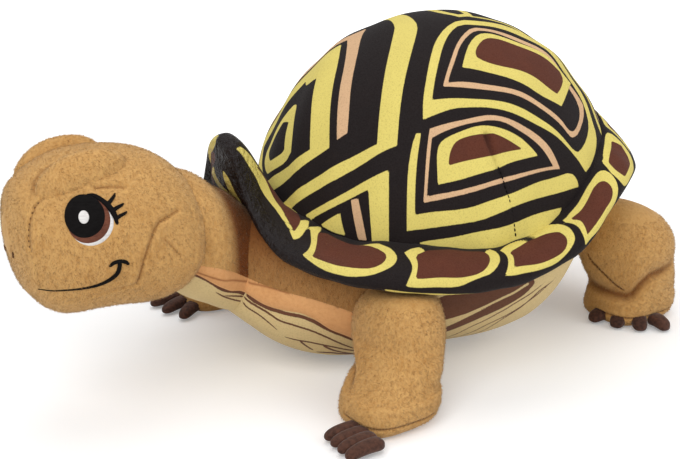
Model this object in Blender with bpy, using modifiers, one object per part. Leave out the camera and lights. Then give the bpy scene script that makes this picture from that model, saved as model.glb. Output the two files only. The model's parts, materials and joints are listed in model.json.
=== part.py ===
"""Plush turtle: a sewn soft toy, built as covers round their fillings.

The toy stands on the floor plane with its face towards -Y, and +X is its left side.
A printed dome with a padded rim sits on a plush body. The neck, the head, the four legs
and the tail are stuffed pieces of their own that flex at the seams where they are sewn on.
Everything is modelled round the middle of the shell, and the empty named plush_turtle then
carries the whole toy to its origin, on the floor under the middle of its length.
"""
import math

import bmesh
import bpy
import numpy as np
from mathutils import Matrix, Vector

# Fabric and seams
COVER_THICKNESS = 0.0012
SEAM_GAP = 0.0003

# Shell: an ellipsoid dome over the plane where it is widest
SHELL_WIDTH = 0.176
SHELL_LENGTH = 0.204
SHELL_RISE = 0.107
SHELL_PLANE_HEIGHT = 0.0615

# Rim: a padded flange round the foot of the dome, with its front edge curled up
RIM_SIDE_OVERHANG = 0.017
RIM_FRONT_OVERHANG = 0.027
RIM_REAR_OVERHANG = 0.014
RIM_ROOT_THICKNESS = 0.008
RIM_EDGE_THICKNESS = 0.012
RIM_LIP_CURL = 0.012
RIM_TUCK = 0.005
RIM_GAP = 0.0006

# Body under the shell
BELLY_CLEARANCE = 0.003
TORSO_FRONT_OVERHANG = 0.024
TORSO_REAR_OVERHANG = 0.011

# Neck, from its hinge in the throat to the pivot where the head turns
NECK_BASE_RADIUS = 0.022
NECK_WAIST_RADIUS = 0.024
NECK_BASE_HEIGHT = 0.056
NECK_REACH = 0.024
NECK_RISE = 0.023
NECK_TOP_RADIUS = 0.026

# Head
HEAD_LENGTH = 0.079
HEAD_WIDTH = 0.069
HEAD_HEIGHT = 0.072
HEAD_LIFT = 0.006
BROW_LENGTH = 0.048
BROW_WIDTH = 0.022
BROW_HEIGHT = 0.026
EYE_RADIUS = 0.0095
EYE_THICKNESS = 0.0009

# Legs: each hip turns about a cross axis
FRONT_HIP_RADIUS = 0.0225
FRONT_HIP_HALF_WIDTH = 0.028
FRONT_HIP_HEIGHT = 0.033
HIND_HIP_RADIUS = 0.026
HIND_HIP_HALF_WIDTH = 0.028
HIND_HIP_HEIGHT = 0.042

# Places of the legs under the shell: from leg to leg as a share of its width, and from its
# middle as a share of its length
FRONT_HIP_SPAN_SHARE = 0.773
FRONT_HIP_AHEAD_SHARE = 0.387
FRONT_FOOT_SPAN_SHARE = 0.955
FRONT_FOOT_AHEAD_SHARE = 0.446
HIND_HIP_SPAN_SHARE = 0.636
HIND_HIP_BEHIND_SHARE = 0.436
HIND_FOOT_SPAN_SHARE = 0.682
HIND_FOOT_BEHIND_SHARE = 0.471

# Feet and claws
FOOT_HALF_WIDTH = 0.022
FOOT_HALF_LENGTH = 0.025
SOLE_THICKNESS = 0.0012
CLAW_RADIUS = 0.0042
CLAW_LENGTH = 0.018
CLAW_SPACING = 0.0082

# Tail
TAIL_RADIUS = 0.010
TAIL_TIP_RADIUS = 0.0035
TAIL_HEIGHT = 0.070
TAIL_INSET = 0.006
TAIL_REACH = 0.024
TAIL_DROP = 0.016

# Every cutter runs past what it cuts by this much
OVERRUN = 0.012

# Seat of the shell on the body: way from front to rear, and height over the shell's plane
# as a share of the rise
SEAT_HEIGHT_SHARES = (
    (0, 0.17), (0.05, 0.085), (0.15, 0.07), (0.33, 0.035), (0.45, 0.07),
    (0.55, 0.15), (0.65, 0.27), (0.75, 0.35), (0.87, 0.385), (1, 0.36))

# Outer edge of the rim: way round from front to rear, and height over the shell's plane as
# a share of the rise
RIM_EDGE_HEIGHT_SHARES = (
    (0, 0.4), (0.022, 0.345), (0.04, 0.266), (0.056, 0.2), (0.078, 0.145), (0.111, 0.103),
    (0.2, 0.045), (0.31, 0.008), (0.4, -0.005), (0.45, 0.01), (0.49, 0.055), (0.54, 0.125),
    (0.6, 0.22), (0.67, 0.27), (0.78, 0.25), (0.89, 0.25), (0.95, 0.3), (1, 0.37))
RIM_FRONT_SQUARENESS = 2.3
RIM_REAR_SQUARENESS = 1.9
RIM_CROWDING_SHARE = 0.4
RIM_LIP_SHARE = 0.12

# Section of the rim: powers that flatten its faces, round its edge and gather the curl there
RIM_FACE_POWER = 0.55
RIM_EDGE_POWER = 0.8
RIM_CURL_POWER = 3

# Body sections from throat to rump: way along; half width as a share of the shell's half
# width; top and widest level as shares of the shell's plane height; underside over the
# belly clearance as a share of the same
TORSO_SECTION_SHARES = (
    (0, 0.285, 1.3, 0.91, 0.463), (0.029, 0.375, 1.33, 0.93, 0.358),
    (0.063, 0.477, 1.33, 0.98, 0.236), (0.105, 0.58, 1.33, 1.07, 0.13),
    (0.159, 0.68, 1.37, 1.12, 0.049), (0.23, 0.8, 1.45, 1.14, 0.011),
    (0.356, 0.93, 1.6, 1.11, 0), (0.502, 1, 1.7, 1.07, 0),
    (0.607, 0.995, 1.95, 1.24, 0.065), (0.69, 0.955, 2.1, 1.56, 0.211),
    (0.774, 0.875, 2.1, 1.66, 0.358), (0.858, 0.75, 2.1, 1.64, 0.504),
    (0.925, 0.59, 1.8, 1.5, 0.683), (0.971, 0.4, 1.42, 1.3, 0.862),
    (1, 0.16, 1.3, 1.2, 1.0))
TORSO_FULLNESS = 2.4

# Neck and tail: places of the rings between the ends, and degrees left open at the seams
NECK_RING_SHARES = (0.3, 0.6, 0.8)
TAIL_RING_SHARES = (0.35, 0.7)
COVER_OPEN_ANGLE = 35
NECK_FILLING_OPEN_ANGLE = 12
TAIL_FILLING_OPEN_ANGLE = 15

# Head sections from nose to nape: way along; half width, top and underside as shares of
# the half width and half height; lean of the section
HEAD_SECTION_SHARES = (
    (0, 0.116, 0.36, 0.03, 0), (0.037, 0.377, 0.61, -0.22, 0), (0.111, 0.609, 0.75, -0.556, 0),
    (0.247, 0.826, 0.89, -0.833, 0.02), (0.42, 0.957, 0.986, -0.97, 0.06),
    (0.593, 1, 1, -1, 0.12), (0.765, 1, 0.944, -0.986, 0.2),
    (0.889, 0.942, 0.806, -0.917, 0.28), (0.985, 0.84, 0.611, -0.764, 0.34))
HEAD_FULLNESS = 2.15

# Cheek seam seen from the side: way along the head, and height over its middle as a share
# of the half height; the chin seam runs level
CHEEK_SEAM_SHARES = ((0.84, 0.31), (0.7, 0.14), (0.64, -0.06), (0.58, -0.53))
CHIN_SEAM_SHARE = -0.74

# Brow and eye on the head: way along, half width and half height shares
BROW_PLACE_SHARES = (0.444, 0.49, 0.75)
EYE_PLACE_SHARES = (0.36, 0.85, 0.31)
EYE_TURN = 22
EYE_LIFT = 16

# Chest seams seen from the side: heights as shares of the shell's plane height, at the
# throat and at the front legs
CHEST_SEAM_SHARES = (0.88, 0.52)
BIB_SEAM_SHARES = (0.76, 0.29)

# Leg sections from the foot up: height as a share of the hinge's, way from foot to hip,
# and pinch
LEG_SECTION_SHARES = ((0.12, 0, 1), (0.27, 0.08, 0.98), (0.48, 0.3, 0.87), (0.73, 0.65, 0.91))
FOOT_HEEL_SHARE = 0.92

# Claws: places across the foot in spacings, and how the claws of each foot are turned out
CLAW_PLACES = (-1.5, -0.5, 0.5, 1.5)
CLAW_BASE_SHARES = (0.72, 0.3, 0.9)
CLAW_REACH_SHARE = 0.28
FRONT_FOOT_TURN = 30
HIND_FOOT_TURN = 35

# Flex of the seams, in degrees
NOD_UP = 4
NOD_DOWN = 15
TAIL_SWING = 20

# Fineness of the round forms
DOME_SEGMENTS = 36
RIM_STATIONS = 56
RIM_SECTION_ANGLES = (90, 64, 40, 18)
HIP_RING_ANGLES = (0, 22, 44, 64, 82)
TIP_RING_ANGLES = (0, 30, 60)
TORSO_POINTS = 28
HEAD_POINTS = 22
LEG_POINTS = 16
TUBE_POINTS = 18
NECK_BALL_STEPS = 5
TAIL_BALL_STEPS = 3
NECK_ROOM_STEPS = 5
EYE_POINTS = 24
CLAW_POINTS = 8
SEAT_STATIONS = 30
ROOM_SEGMENTS = 28

COLOURS = {
    "shell_print": (0.075, 0.055, 0.05, 1),
    "shell_lining": (0.75, 0.7, 0.45, 1),
    "tan_plush": (0.58, 0.4, 0.2, 1),
    "orange_satin": (0.78, 0.42, 0.2, 1),
    "cream_satin": (0.78, 0.66, 0.38, 1),
    "claw_suede": (0.09, 0.045, 0.03, 1),
    "eye_thread": (0.02, 0.015, 0.015, 1),
    "polyester_fill": (0.9, 0.9, 0.88, 1),
}


# Scene bookkeeping

def clear_scene():
    """Remove every object, so that the model starts from an empty scene."""
    for obj in list(bpy.data.objects):
        bpy.data.objects.remove(obj, do_unlink=True)


def new_collection(name):
    """A collection of its own in the scene."""
    collection = bpy.data.collections.new(name)
    bpy.context.scene.collection.children.link(collection)
    return collection


def fabric(name, colour):
    """A matt cloth of one colour."""
    material = bpy.data.materials.new(name)
    material.use_nodes = True
    shader = material.node_tree.nodes["Principled BSDF"]
    shader.inputs["Base Color"].default_value = colour
    shader.inputs["Roughness"].default_value = 0.9
    shader.inputs["Metallic"].default_value = 0
    material.diffuse_color = colour
    return material


class Toy:
    """The toy's collections, its materials, and the places of its joints."""

    def __init__(self):
        self.parts = new_collection("plush_turtle")
        self.cutters = new_collection("cutters")
        self.materials = {name: fabric(name, colour) for name, colour in COLOURS.items()}
        self.places = {}
        self.root = self.joint("plush_turtle", (0, 0, 0), None)

    def joint(self, name, place, parent):
        """An empty on a joint, carried by the joint before it."""
        empty = bpy.data.objects.new(name, None)
        empty.empty_display_size = NECK_BASE_RADIUS
        self.parts.objects.link(empty)
        self.places[name] = Vector(place)
        if parent is not None:
            empty.parent = parent
            empty.location = self.places[name] - self.places[parent.name]
        return empty

    def add(self, name, mesh, collection, joint):
        """An object whose origin lies on the joint that carries it."""
        mesh.name = name
        mesh.transform(Matrix.Translation(-self.places[joint.name]))
        obj = bpy.data.objects.new(name, mesh)
        obj.parent = joint
        collection.objects.link(obj)
        return obj

    def piece(self, name, mesh, material, joint):
        """A piece of the toy."""
        mesh.materials.clear()
        mesh.materials.append(self.materials[material])
        obj = self.add(name, mesh, self.parts, joint)
        mesh.shade_smooth()
        return obj

    def cutter(self, name, mesh):
        """A solid that only cuts others."""
        obj = self.add(name, mesh, self.cutters, self.root)
        obj.hide_render = True
        obj.display_type = "WIRE"
        return obj


# Modelling helpers

def smooth_value(shares, where):
    """Smooth value of a table of (place, value) pairs, at one place or at many."""
    places, values = np.array(shares, dtype=float).T
    slopes = np.gradient(values, places)
    where = np.asarray(where, dtype=float)
    index = np.clip(np.searchsorted(places, where, side="right") - 1, 0, len(places) - 2)
    span = places[index + 1] - places[index]
    t = (where - places[index]) / span
    start = values[index] * (1 + 2 * t) + slopes[index] * span * t
    end = values[index + 1] * (3 - 2 * t) - slopes[index + 1] * span * (1 - t)
    return start * (1 - t) ** 2 + end * t ** 2


def loft(rings, capped=True, cyclic=False):
    """Mesh over a row of rings, each a list of the same number of points."""
    bm = bmesh.new()
    rows = [[bm.verts.new(point) for point in ring] for ring in rings]
    pairs = list(zip(rows, rows[1:]))
    if cyclic:
        pairs.append((rows[-1], rows[0]))
    for lower, upper in pairs:
        for i in range(len(lower)):
            j = (i + 1) % len(lower)
            bm.faces.new((lower[i], lower[j], upper[j], upper[i]))
    if capped:
        bm.faces.new(rows[0])
        bm.faces.new(rows[-1])
    bmesh.ops.recalc_face_normals(bm, faces=bm.faces)
    bmesh.ops.triangulate(bm, faces=bm.faces)
    mesh = bpy.data.meshes.new("loft")
    bm.to_mesh(mesh)
    bm.free()
    return mesh


def ellipsoid(centre, semi_axes, segments, turn=0):
    """A sphere stretched to three semi-axes and turned about the vertical."""
    bm = bmesh.new()
    bmesh.ops.create_uvsphere(bm, u_segments=segments, v_segments=segments // 2, radius=1)
    mesh = bpy.data.meshes.new("ellipsoid")
    bm.to_mesh(mesh)
    bm.free()
    stretch = Matrix.Diagonal((*semi_axes, 1))
    mesh.transform(Matrix.Translation(centre) @ Matrix.Rotation(turn, 4, "Z") @ stretch)
    return mesh


def room(centre, semi_axes, clearance, segments):
    """An ellipsoid whose flats all clear a rounded piece that turns in it."""
    flats = math.cos(math.pi / segments) ** 2
    return ellipsoid(centre, [(size + clearance) / flats for size in semi_axes], segments)


def side_prism(outline, low, high):
    """An outline of (y, z) points carried across the toy from x = low to x = high."""
    return loft([[(x, y, z) for y, z in outline] for x in (low, high)])


def superellipse(angle, half_width, half_height, fullness):
    """Point of a squared ellipse, with the angle counted from its top towards +X."""
    x = math.copysign(abs(math.sin(angle)) ** (2 / fullness), math.sin(angle))
    z = math.copysign(abs(math.cos(angle)) ** (2 / fullness), math.cos(angle))
    return half_width * x, half_height * z


def boolean(obj, cutter, operation="DIFFERENCE"):
    """Cut, join or trim one object with another."""
    modifier = obj.modifiers.new(cutter.name, "BOOLEAN")
    modifier.operation = operation
    modifier.solver = "EXACT"
    modifier.object = cutter
    return modifier


def solidify(obj):
    """Give an open surface the thickness of its cloth, inwards."""
    modifier = obj.modifiers.new("cloth", "SOLIDIFY")
    modifier.thickness = COVER_THICKNESS
    modifier.offset = -1
    modifier.use_even_offset = True
    return modifier


def realised(obj):
    """The mesh of an object after its modifiers, back in the shell's frame."""
    bpy.context.view_layer.update()
    graph = bpy.context.evaluated_depsgraph_get()
    return bpy.data.meshes.new_from_object(obj.evaluated_get(graph))


def ring_angles(count):
    """Angles of the points of one ring."""
    return [2 * math.pi * i / count for i in range(count)]


# Shell

def shell_semi_axes(inset):
    """Semi-axes of the dome, drawn in by an inset."""
    return SHELL_WIDTH / 2 - inset, SHELL_LENGTH / 2 - inset, SHELL_RISE - inset


def seat_height(y):
    """Height of the seat between shell and body, at one or many places along the toy."""
    along = np.clip(np.asarray(y) / SHELL_LENGTH + 0.5, 0, 1)
    return SHELL_PLANE_HEIGHT + SHELL_RISE * smooth_value(SEAT_HEIGHT_SHARES, along)


def seat_prism(above):
    """Everything over the seat, or everything under it, across the whole toy."""
    reach = SHELL_LENGTH / 2
    ends = np.linspace(-reach, reach, SEAT_STATIONS + 1)
    heights = seat_height(ends) + (-SEAM_GAP if above else SEAM_GAP) / 2
    outline = list(zip(ends, heights))
    if not above:
        outline = [(-reach - OVERRUN, heights[0])] + outline + [(reach + OVERRUN, heights[-1])]
    far = SHELL_PLANE_HEIGHT + SHELL_RISE + OVERRUN if above else -SHELL_RISE
    outline += [(outline[-1][0], far), (outline[0][0], far)]
    across = SHELL_WIDTH / 2 + RIM_SIDE_OVERHANG + OVERRUN
    return side_prism(outline, -across, across)


def build_shell(toy):
    """Printed dome cover, open at its seat, and the filling inside it."""
    centre = (0, 0, SHELL_PLANE_HEIGHT)
    hollow = toy.cutter("shell_hollow",
                        ellipsoid(centre, shell_semi_axes(COVER_THICKNESS), DOME_SEGMENTS))
    below = toy.cutter("below_shell", seat_prism(above=False))
    cover = toy.piece("shell_cover", ellipsoid(centre, shell_semi_axes(0), DOME_SEGMENTS),
                      "shell_print", toy.root)
    boolean(cover, hollow)
    boolean(cover, below)
    inset = COVER_THICKNESS + SEAM_GAP
    filling = toy.piece("shell_filling", ellipsoid(centre, shell_semi_axes(inset), DOME_SEGMENTS),
                        "polyester_fill", toy.root)
    boolean(filling, below)


# Rim

def rim_station(index):
    """Root and edge of the rim at one station, and the unit steps along and across it."""
    turn = 2 * math.pi * index / RIM_STATIONS
    turn -= RIM_CROWDING_SHARE * math.sin(turn)
    across, ahead = math.sin(turn), math.cos(turn)
    half_width, half_length, rise = shell_semi_axes(0)
    shrink = 1
    for _ in range(2):
        height = float(seat_height(-half_length * shrink * ahead))
        shrink = math.sqrt(1 - ((height - SHELL_PLANE_HEIGHT) / rise) ** 2)
    root = Vector((half_width * shrink * across, -half_length * shrink * ahead, height))
    way = math.acos(ahead) / math.pi
    overhang = RIM_FRONT_OVERHANG if ahead > 0 else RIM_REAR_OVERHANG
    squareness = RIM_FRONT_SQUARENESS if ahead > 0 else RIM_REAR_SQUARENESS
    x, y = superellipse(turn, half_width + RIM_SIDE_OVERHANG, half_length + overhang, squareness)
    height = SHELL_PLANE_HEIGHT + rise * float(smooth_value(RIM_EDGE_HEIGHT_SHARES, way))
    edge = Vector((x, -y, height))
    along = (edge - root).normalized()
    flat = Vector((along.x, along.y, 0))
    side = flat.normalized() * -along.z
    up = Vector((side.x, side.y, flat.length))
    lip = max(0, 1 - way / RIM_LIP_SHARE) ** 2
    return root, (edge - root).length, along, up, lip


def dome_depth(root, along, place, clearance):
    """Distance along a line from a place near the root to where it leaves the dome."""
    centre = Vector((0, 0, SHELL_PLANE_HEIGHT))
    semi_axes = shell_semi_axes(-clearance)
    start = Vector([value / size for value, size in zip(root + place - centre, semi_axes)])
    step = Vector([value / size for value, size in zip(along, semi_axes)])
    half = start.dot(step)
    square = step.length_squared
    return (-half + math.sqrt(half ** 2 - square * (start.length_squared - 1))) / square


def rim_points(station, angles, inset):
    """Points of the rim's section, from its upper side round the edge to its lower side."""
    root, reach, along, up, lip = station
    points = []
    for degrees in angles:
        angle = math.radians(degrees)
        share = math.cos(angle) ** RIM_FACE_POWER
        thickness = RIM_ROOT_THICKNESS + (RIM_EDGE_THICKNESS - RIM_ROOT_THICKNESS) * share
        rise = math.copysign(abs(math.sin(angle)) ** RIM_EDGE_POWER, angle)
        height = (thickness / 2 - inset) * rise
        start = dome_depth(root, along, up * height, RIM_GAP)
        depth = start + (reach - inset - start) * share
        curl = Vector((0, 0, RIM_LIP_CURL * lip * share ** RIM_CURL_POWER))
        points.append(root + along * depth + up * height + curl)
    return points


def rim_angles(seam):
    """Angles down the upper half of the section, ending short of the edge seam."""
    return list(RIM_SECTION_ANGLES) + [seam]


def rim_ring(outline):
    """A closed ring with the given outline at each station."""
    return loft([outline(rim_station(i)) for i in range(RIM_STATIONS)], capped=False, cyclic=True)


def rim_panel(upper):
    """Outline of one of the two cloth panels that meet at the edge of the rim."""
    sign = 1 if upper else -1
    seam = math.degrees((SEAM_GAP / RIM_EDGE_THICKNESS) ** (1 / RIM_EDGE_POWER))
    angles = [sign * angle for angle in rim_angles(seam)]

    def outline(station):
        outside = rim_points(station, angles, 0)
        inside = rim_points(station, angles, COVER_THICKNESS)
        return outside + inside[::-1]
    return rim_ring(outline)


def rim_pad(station):
    """Outline of the padding inside the rim."""
    angles = rim_angles(0)
    angles += [-angle for angle in angles[-2::-1]]
    return rim_points(station, angles, COVER_THICKNESS + SEAM_GAP)


def rim_hood(station):
    """Outline of all that lies over the underside of the rim, as the body has to clear it."""
    root, reach, along, up, _ = station
    inner = root - along * RIM_TUCK - up * (RIM_ROOT_THICKNESS / 2 + COVER_THICKNESS)
    outer = root + along * (reach + OVERRUN) - up * (RIM_EDGE_THICKNESS / 2 + COVER_THICKNESS)
    top = SHELL_PLANE_HEIGHT + SHELL_RISE + OVERRUN
    return [inner, outer, Vector((outer.x, outer.y, top)), Vector((inner.x, inner.y, top))]


def build_rim(toy):
    """Two cloth panels round a ring of padding, sewn to the dome."""
    toy.piece("rim_upper_panel", rim_panel(upper=True), "shell_print", toy.root)
    toy.piece("rim_lower_panel", rim_panel(upper=False), "shell_lining", toy.root)
    toy.piece("rim_padding", rim_ring(rim_pad), "polyester_fill", toy.root)


# Body

def torso_form(inset):
    """Bowl of the body from throat to rump."""
    front = -SHELL_LENGTH / 2 - TORSO_FRONT_OVERHANG + inset
    rear = SHELL_LENGTH / 2 + TORSO_REAR_OVERHANG - inset
    rings = []
    for way, width, top, level, under in TORSO_SECTION_SHARES:
        y = front + (rear - front) * way
        half_width = width * SHELL_WIDTH / 2 - inset
        middle = level * SHELL_PLANE_HEIGHT
        over = (top - level) * SHELL_PLANE_HEIGHT - inset
        depth = middle - BELLY_CLEARANCE - under * SHELL_PLANE_HEIGHT - inset
        ring = []
        for angle in ring_angles(TORSO_POINTS):
            x, z = superellipse(angle, half_width, 1, TORSO_FULLNESS)
            ring.append((x, y, middle + z * (over if z > 0 else depth)))
        rings.append(ring)
    return loft(rings)


def neck_axis():
    """Unit step from the hinge in the throat to the pivot of the head, and its length."""
    step = Vector((0, -NECK_REACH, NECK_RISE))
    return step.normalized(), step.length


def neck_room(toy):
    """Room for the neck: a fan ahead of its hinge, open to both ends of its nod."""
    base = toy.places["neck_joint"]
    rise = math.atan2(NECK_RISE, NECK_REACH)
    reach = NECK_REACH + NECK_RISE + HEAD_HEIGHT
    lower = rise - math.radians(NOD_DOWN) - math.pi / 2
    upper = rise + math.radians(NOD_UP) + math.pi / 2
    outline = [(base.y, base.z)]
    outline += [(base.y - reach * math.cos(angle), base.z + reach * math.sin(angle))
                for angle in np.linspace(lower, upper, NECK_ROOM_STEPS + 1)]
    return side_prism(outline, -reach, reach)


def seam_height(shares, y):
    """Height of a straight chest seam at a place along the toy."""
    throat = -SHELL_LENGTH / 2 - TORSO_FRONT_OVERHANG
    way = (y - throat) / (-FRONT_HIP_AHEAD_SHARE * SHELL_LENGTH - throat)
    return SHELL_PLANE_HEIGHT * (shares[0] + (shares[1] - shares[0]) * way)


def chest_band(top, under, shift_top, shift_under):
    """Side outline of the chest between two seams, ahead of the front legs."""
    front = -SHELL_LENGTH / 2 - TORSO_FRONT_OVERHANG - OVERRUN
    rear = -FRONT_HIP_AHEAD_SHARE * SHELL_LENGTH - SEAM_GAP / 2
    return [(front, top(front) + shift_top), (rear, top(rear) + shift_top),
            (rear, under(rear) + shift_under), (front, under(front) + shift_under)]


def torso_panels():
    """Side outlines and sides of the panels that make up the body's cover."""
    half = SEAM_GAP / 2
    high = SHELL_PLANE_HEIGHT + SHELL_RISE
    front = -SHELL_LENGTH / 2 - TORSO_FRONT_OVERHANG - OVERRUN
    rear = SHELL_LENGTH / 2 + TORSO_REAR_OVERHANG + OVERRUN

    def chest(y):
        return seam_height(CHEST_SEAM_SHARES, y)

    def bib(y):
        return seam_height(BIB_SEAM_SHARES, y)

    upper = chest_band(lambda y: high, chest, 0, half)
    middle = chest_band(chest, bib, -half, half)
    legs = -FRONT_HIP_AHEAD_SHARE * SHELL_LENGTH
    hind = HIND_HIP_BEHIND_SHARE * SHELL_LENGTH
    belly = [(front, bib(front) - half), (legs + half, bib(legs) - half), (legs + half, high),
             (hind - half, high), (hind - half, -OVERRUN), (front, -OVERRUN)]
    rump = [(hind + half, -OVERRUN), (rear, -OVERRUN), (rear, high), (hind + half, high)]
    return (("chest_left", upper, 1, "tan_plush"), ("chest_right", upper, -1, "tan_plush"),
            ("gusset_left", middle, 1, "orange_satin"), ("gusset_right", middle, -1, "orange_satin"),
            ("plastron_panel", belly, 0, "cream_satin"), ("rump_cover", rump, 0, "tan_plush"))


def build_torso(toy, sockets):
    """Filling of the body, and its cover in panels sewn edge to edge."""
    cutters = [toy.cutter("above_body", seat_prism(above=True)),
               toy.cutter("rim_hood", rim_ring(rim_hood)),
               toy.cutter("neck_room", neck_room(toy)),
               toy.cutter("tail_room", tail_room(toy))] + sockets
    skin = toy.cutter("torso_skin", torso_form(0))
    boolean(skin, toy.cutter("torso_hollow", torso_form(COVER_THICKNESS)))
    filling = toy.piece("torso_filling", torso_form(COVER_THICKNESS + SEAM_GAP),
                        "polyester_fill", toy.root)
    for cutter in cutters:
        boolean(skin, cutter)
        boolean(filling, cutter)
    across = SHELL_WIDTH
    for name, outline, side, material in torso_panels():
        low = 0 if side > 0 else -across
        high = 0 if side < 0 else across
        region = toy.cutter(name + "_region", side_prism(outline, low, high))
        boolean(toy.piece(name, realised(skin), material, toy.root), region, "INTERSECT")


# Neck and tail

def tube_rings(base, axis, stations, points):
    """Rings round an axis in the plane of symmetry, one for each (distance, radius)."""
    side = Vector((1, 0, 0))
    up = side.cross(axis)
    rings = []
    for distance, radius in stations:
        centre = base + axis * distance
        rings.append([centre + (side * math.sin(angle) + up * math.cos(angle)) * radius
                      for angle in ring_angles(points)])
    return rings


def ball_radius(distance, radius):
    """Radius of a ball at a distance from its centre along an axis, or zero outside it."""
    return math.sqrt(max(0, radius ** 2 - distance ** 2))


def neck_stations(inset, open_angle):
    """Distances and radii of the neck: a ball at each end and a slender waist between."""
    _, length = neck_axis()
    base = NECK_BASE_RADIUS - inset
    waist = NECK_WAIST_RADIUS - inset
    top = NECK_TOP_RADIUS - inset
    edge = math.radians(open_angle)
    angles = np.linspace(0, math.pi / 2 - edge, NECK_BALL_STEPS + 1)
    low = [-base * math.sin(angle) for angle in angles[::-1]]
    high = [length + top * math.sin(angle) for angle in angles]
    stations = []
    for distance in low + [length * share for share in NECK_RING_SHARES] + high:
        tube = base + (waist - base) * distance / length if 0 <= distance <= length else 0
        radius = max(tube, ball_radius(distance, base), ball_radius(distance - length, top))
        stations.append((distance, radius))
    return stations


def build_neck(toy, joint):
    """Neck cover, open at both seams, and its filling."""
    axis, _ = neck_axis()
    base = toy.places[joint.name]
    stations = neck_stations(0, COVER_OPEN_ANGLE)
    cover = loft(tube_rings(base, axis, stations, TUBE_POINTS), capped=False)
    solidify(toy.piece("neck_cover", cover, "tan_plush", joint))
    stations = neck_stations(COVER_THICKNESS + SEAM_GAP, NECK_FILLING_OPEN_ANGLE)
    filling = tube_rings(base, axis, stations, TUBE_POINTS)
    toy.piece("neck_filling", loft(filling), "polyester_fill", joint)


def tail_stations(inset, open_angle):
    """Distances and radii of the tail: a ball at the root and a taper to a round tip."""
    length = math.hypot(TAIL_REACH, TAIL_DROP)
    base = TAIL_RADIUS - inset
    tip = TAIL_TIP_RADIUS - inset
    edge = math.radians(open_angle)
    angles = np.linspace(0, math.pi / 2 - edge, TAIL_BALL_STEPS + 1)
    low = [-base * math.sin(angle) for angle in angles[::-1]]
    taper = [length * share for share in TAIL_RING_SHARES]
    stations = [(distance, ball_radius(distance, base)) for distance in low]
    stations += [(distance, base + (tip - base) * distance / length) for distance in taper]
    stations += [(length + tip * math.sin(angle), tip * math.cos(angle))
                 for angle in np.radians(TIP_RING_ANGLES)]
    return stations


def tail_room(toy):
    """Room behind the rump for the tail: a cone as wide as its swing."""
    base = toy.places["tail_joint"]
    reach = math.hypot(TAIL_REACH, TAIL_DROP)
    mouth = TAIL_RADIUS + SEAM_GAP + reach * math.tan(math.radians(TAIL_SWING))
    rings = tube_rings(base, tail_axis(), ((0, TAIL_RADIUS + SEAM_GAP), (reach, mouth)),
                       ROOM_SEGMENTS)
    return loft(rings)


def tail_axis():
    """Unit step from the root of the tail to its tip."""
    return Vector((0, TAIL_REACH, -TAIL_DROP)).normalized()


def build_tail(toy, joint):
    """Tail cover, open at its seam, and its filling."""
    axis = tail_axis()
    base = toy.places[joint.name]
    rings = tube_rings(base, axis, tail_stations(0, COVER_OPEN_ANGLE), LEG_POINTS)
    mesh = loft(rings, capped=False)
    close_end(mesh, rings[-1])
    solidify(toy.piece("tail_cover", mesh, "tan_plush", joint))
    stations = tail_stations(COVER_THICKNESS + SEAM_GAP, TAIL_FILLING_OPEN_ANGLE)
    filling = tube_rings(base, axis, stations, LEG_POINTS)
    toy.piece("tail_filling", loft(filling), "polyester_fill", joint)


def close_end(mesh, ring):
    """Close the end of an open loft that has the points of the given ring."""
    bm = bmesh.new()
    bm.from_mesh(mesh)
    bm.verts.ensure_lookup_table()
    bm.faces.new(bm.verts[-len(ring):])
    bmesh.ops.recalc_face_normals(bm, faces=bm.faces)
    bm.to_mesh(mesh)
    bm.free()


# Head

def head_point(toy, way, across, height):
    """A place on the head from its shares: way from nose to nape, across, and up."""
    pivot = toy.places["head_joint"]
    return Vector((across * HEAD_WIDTH / 2, pivot.y - HEAD_LENGTH * (1 - way),
                   pivot.z + HEAD_LIFT + height * HEAD_HEIGHT / 2))


def head_form(toy, inset):
    """The head from its nose to the seam behind the cheeks, drawn in by an inset."""
    rings = []
    for way, width, top, under, lean in HEAD_SECTION_SHARES:
        centre = head_point(toy, way, 0, (top + under) / 2)
        middle = head_point(toy, way, 0, 0)
        half_height = (top - under) * HEAD_HEIGHT / 4 - inset
        half_width = width * HEAD_WIDTH / 2 - inset
        nose = inset * (1 - way)
        ring = []
        for angle in ring_angles(HEAD_POINTS):
            x, z = superellipse(angle, half_width, half_height, HEAD_FULLNESS)
            height = centre.z + z
            ring.append((x, centre.y + nose + lean * (height - middle.z), height))
        rings.append(ring)
    return loft(rings)


def cheek_outline(toy, shift):
    """Side outline of the cheeks, drawn in by half the seam gap or let out by it."""
    points = [head_point(toy, way, 0, height) for way, height in CHEEK_SEAM_SHARES]
    seam = [(point.y + shift, point.z) for point in points]
    rear = toy.places["head_joint"].y + OVERRUN
    top = points[0].z - shift
    under = head_point(toy, 0, 0, CHIN_SEAM_SHARE).z + shift
    return [(rear, top), (seam[0][0], top)] + seam[1:] + [(seam[-1][0], under), (rear, under)]


def chin_outline(toy, shift):
    """Side outline of everything under the chin seam."""
    seam = head_point(toy, 0, 0, CHIN_SEAM_SHARE).z - shift
    floor = head_point(toy, 0, 0, -1).z - OVERRUN
    front = head_point(toy, 0, 0, 0).y - OVERRUN
    rear = toy.places["head_joint"].y + OVERRUN
    return [(front, seam), (rear, seam), (rear, floor), (front, floor)]


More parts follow.
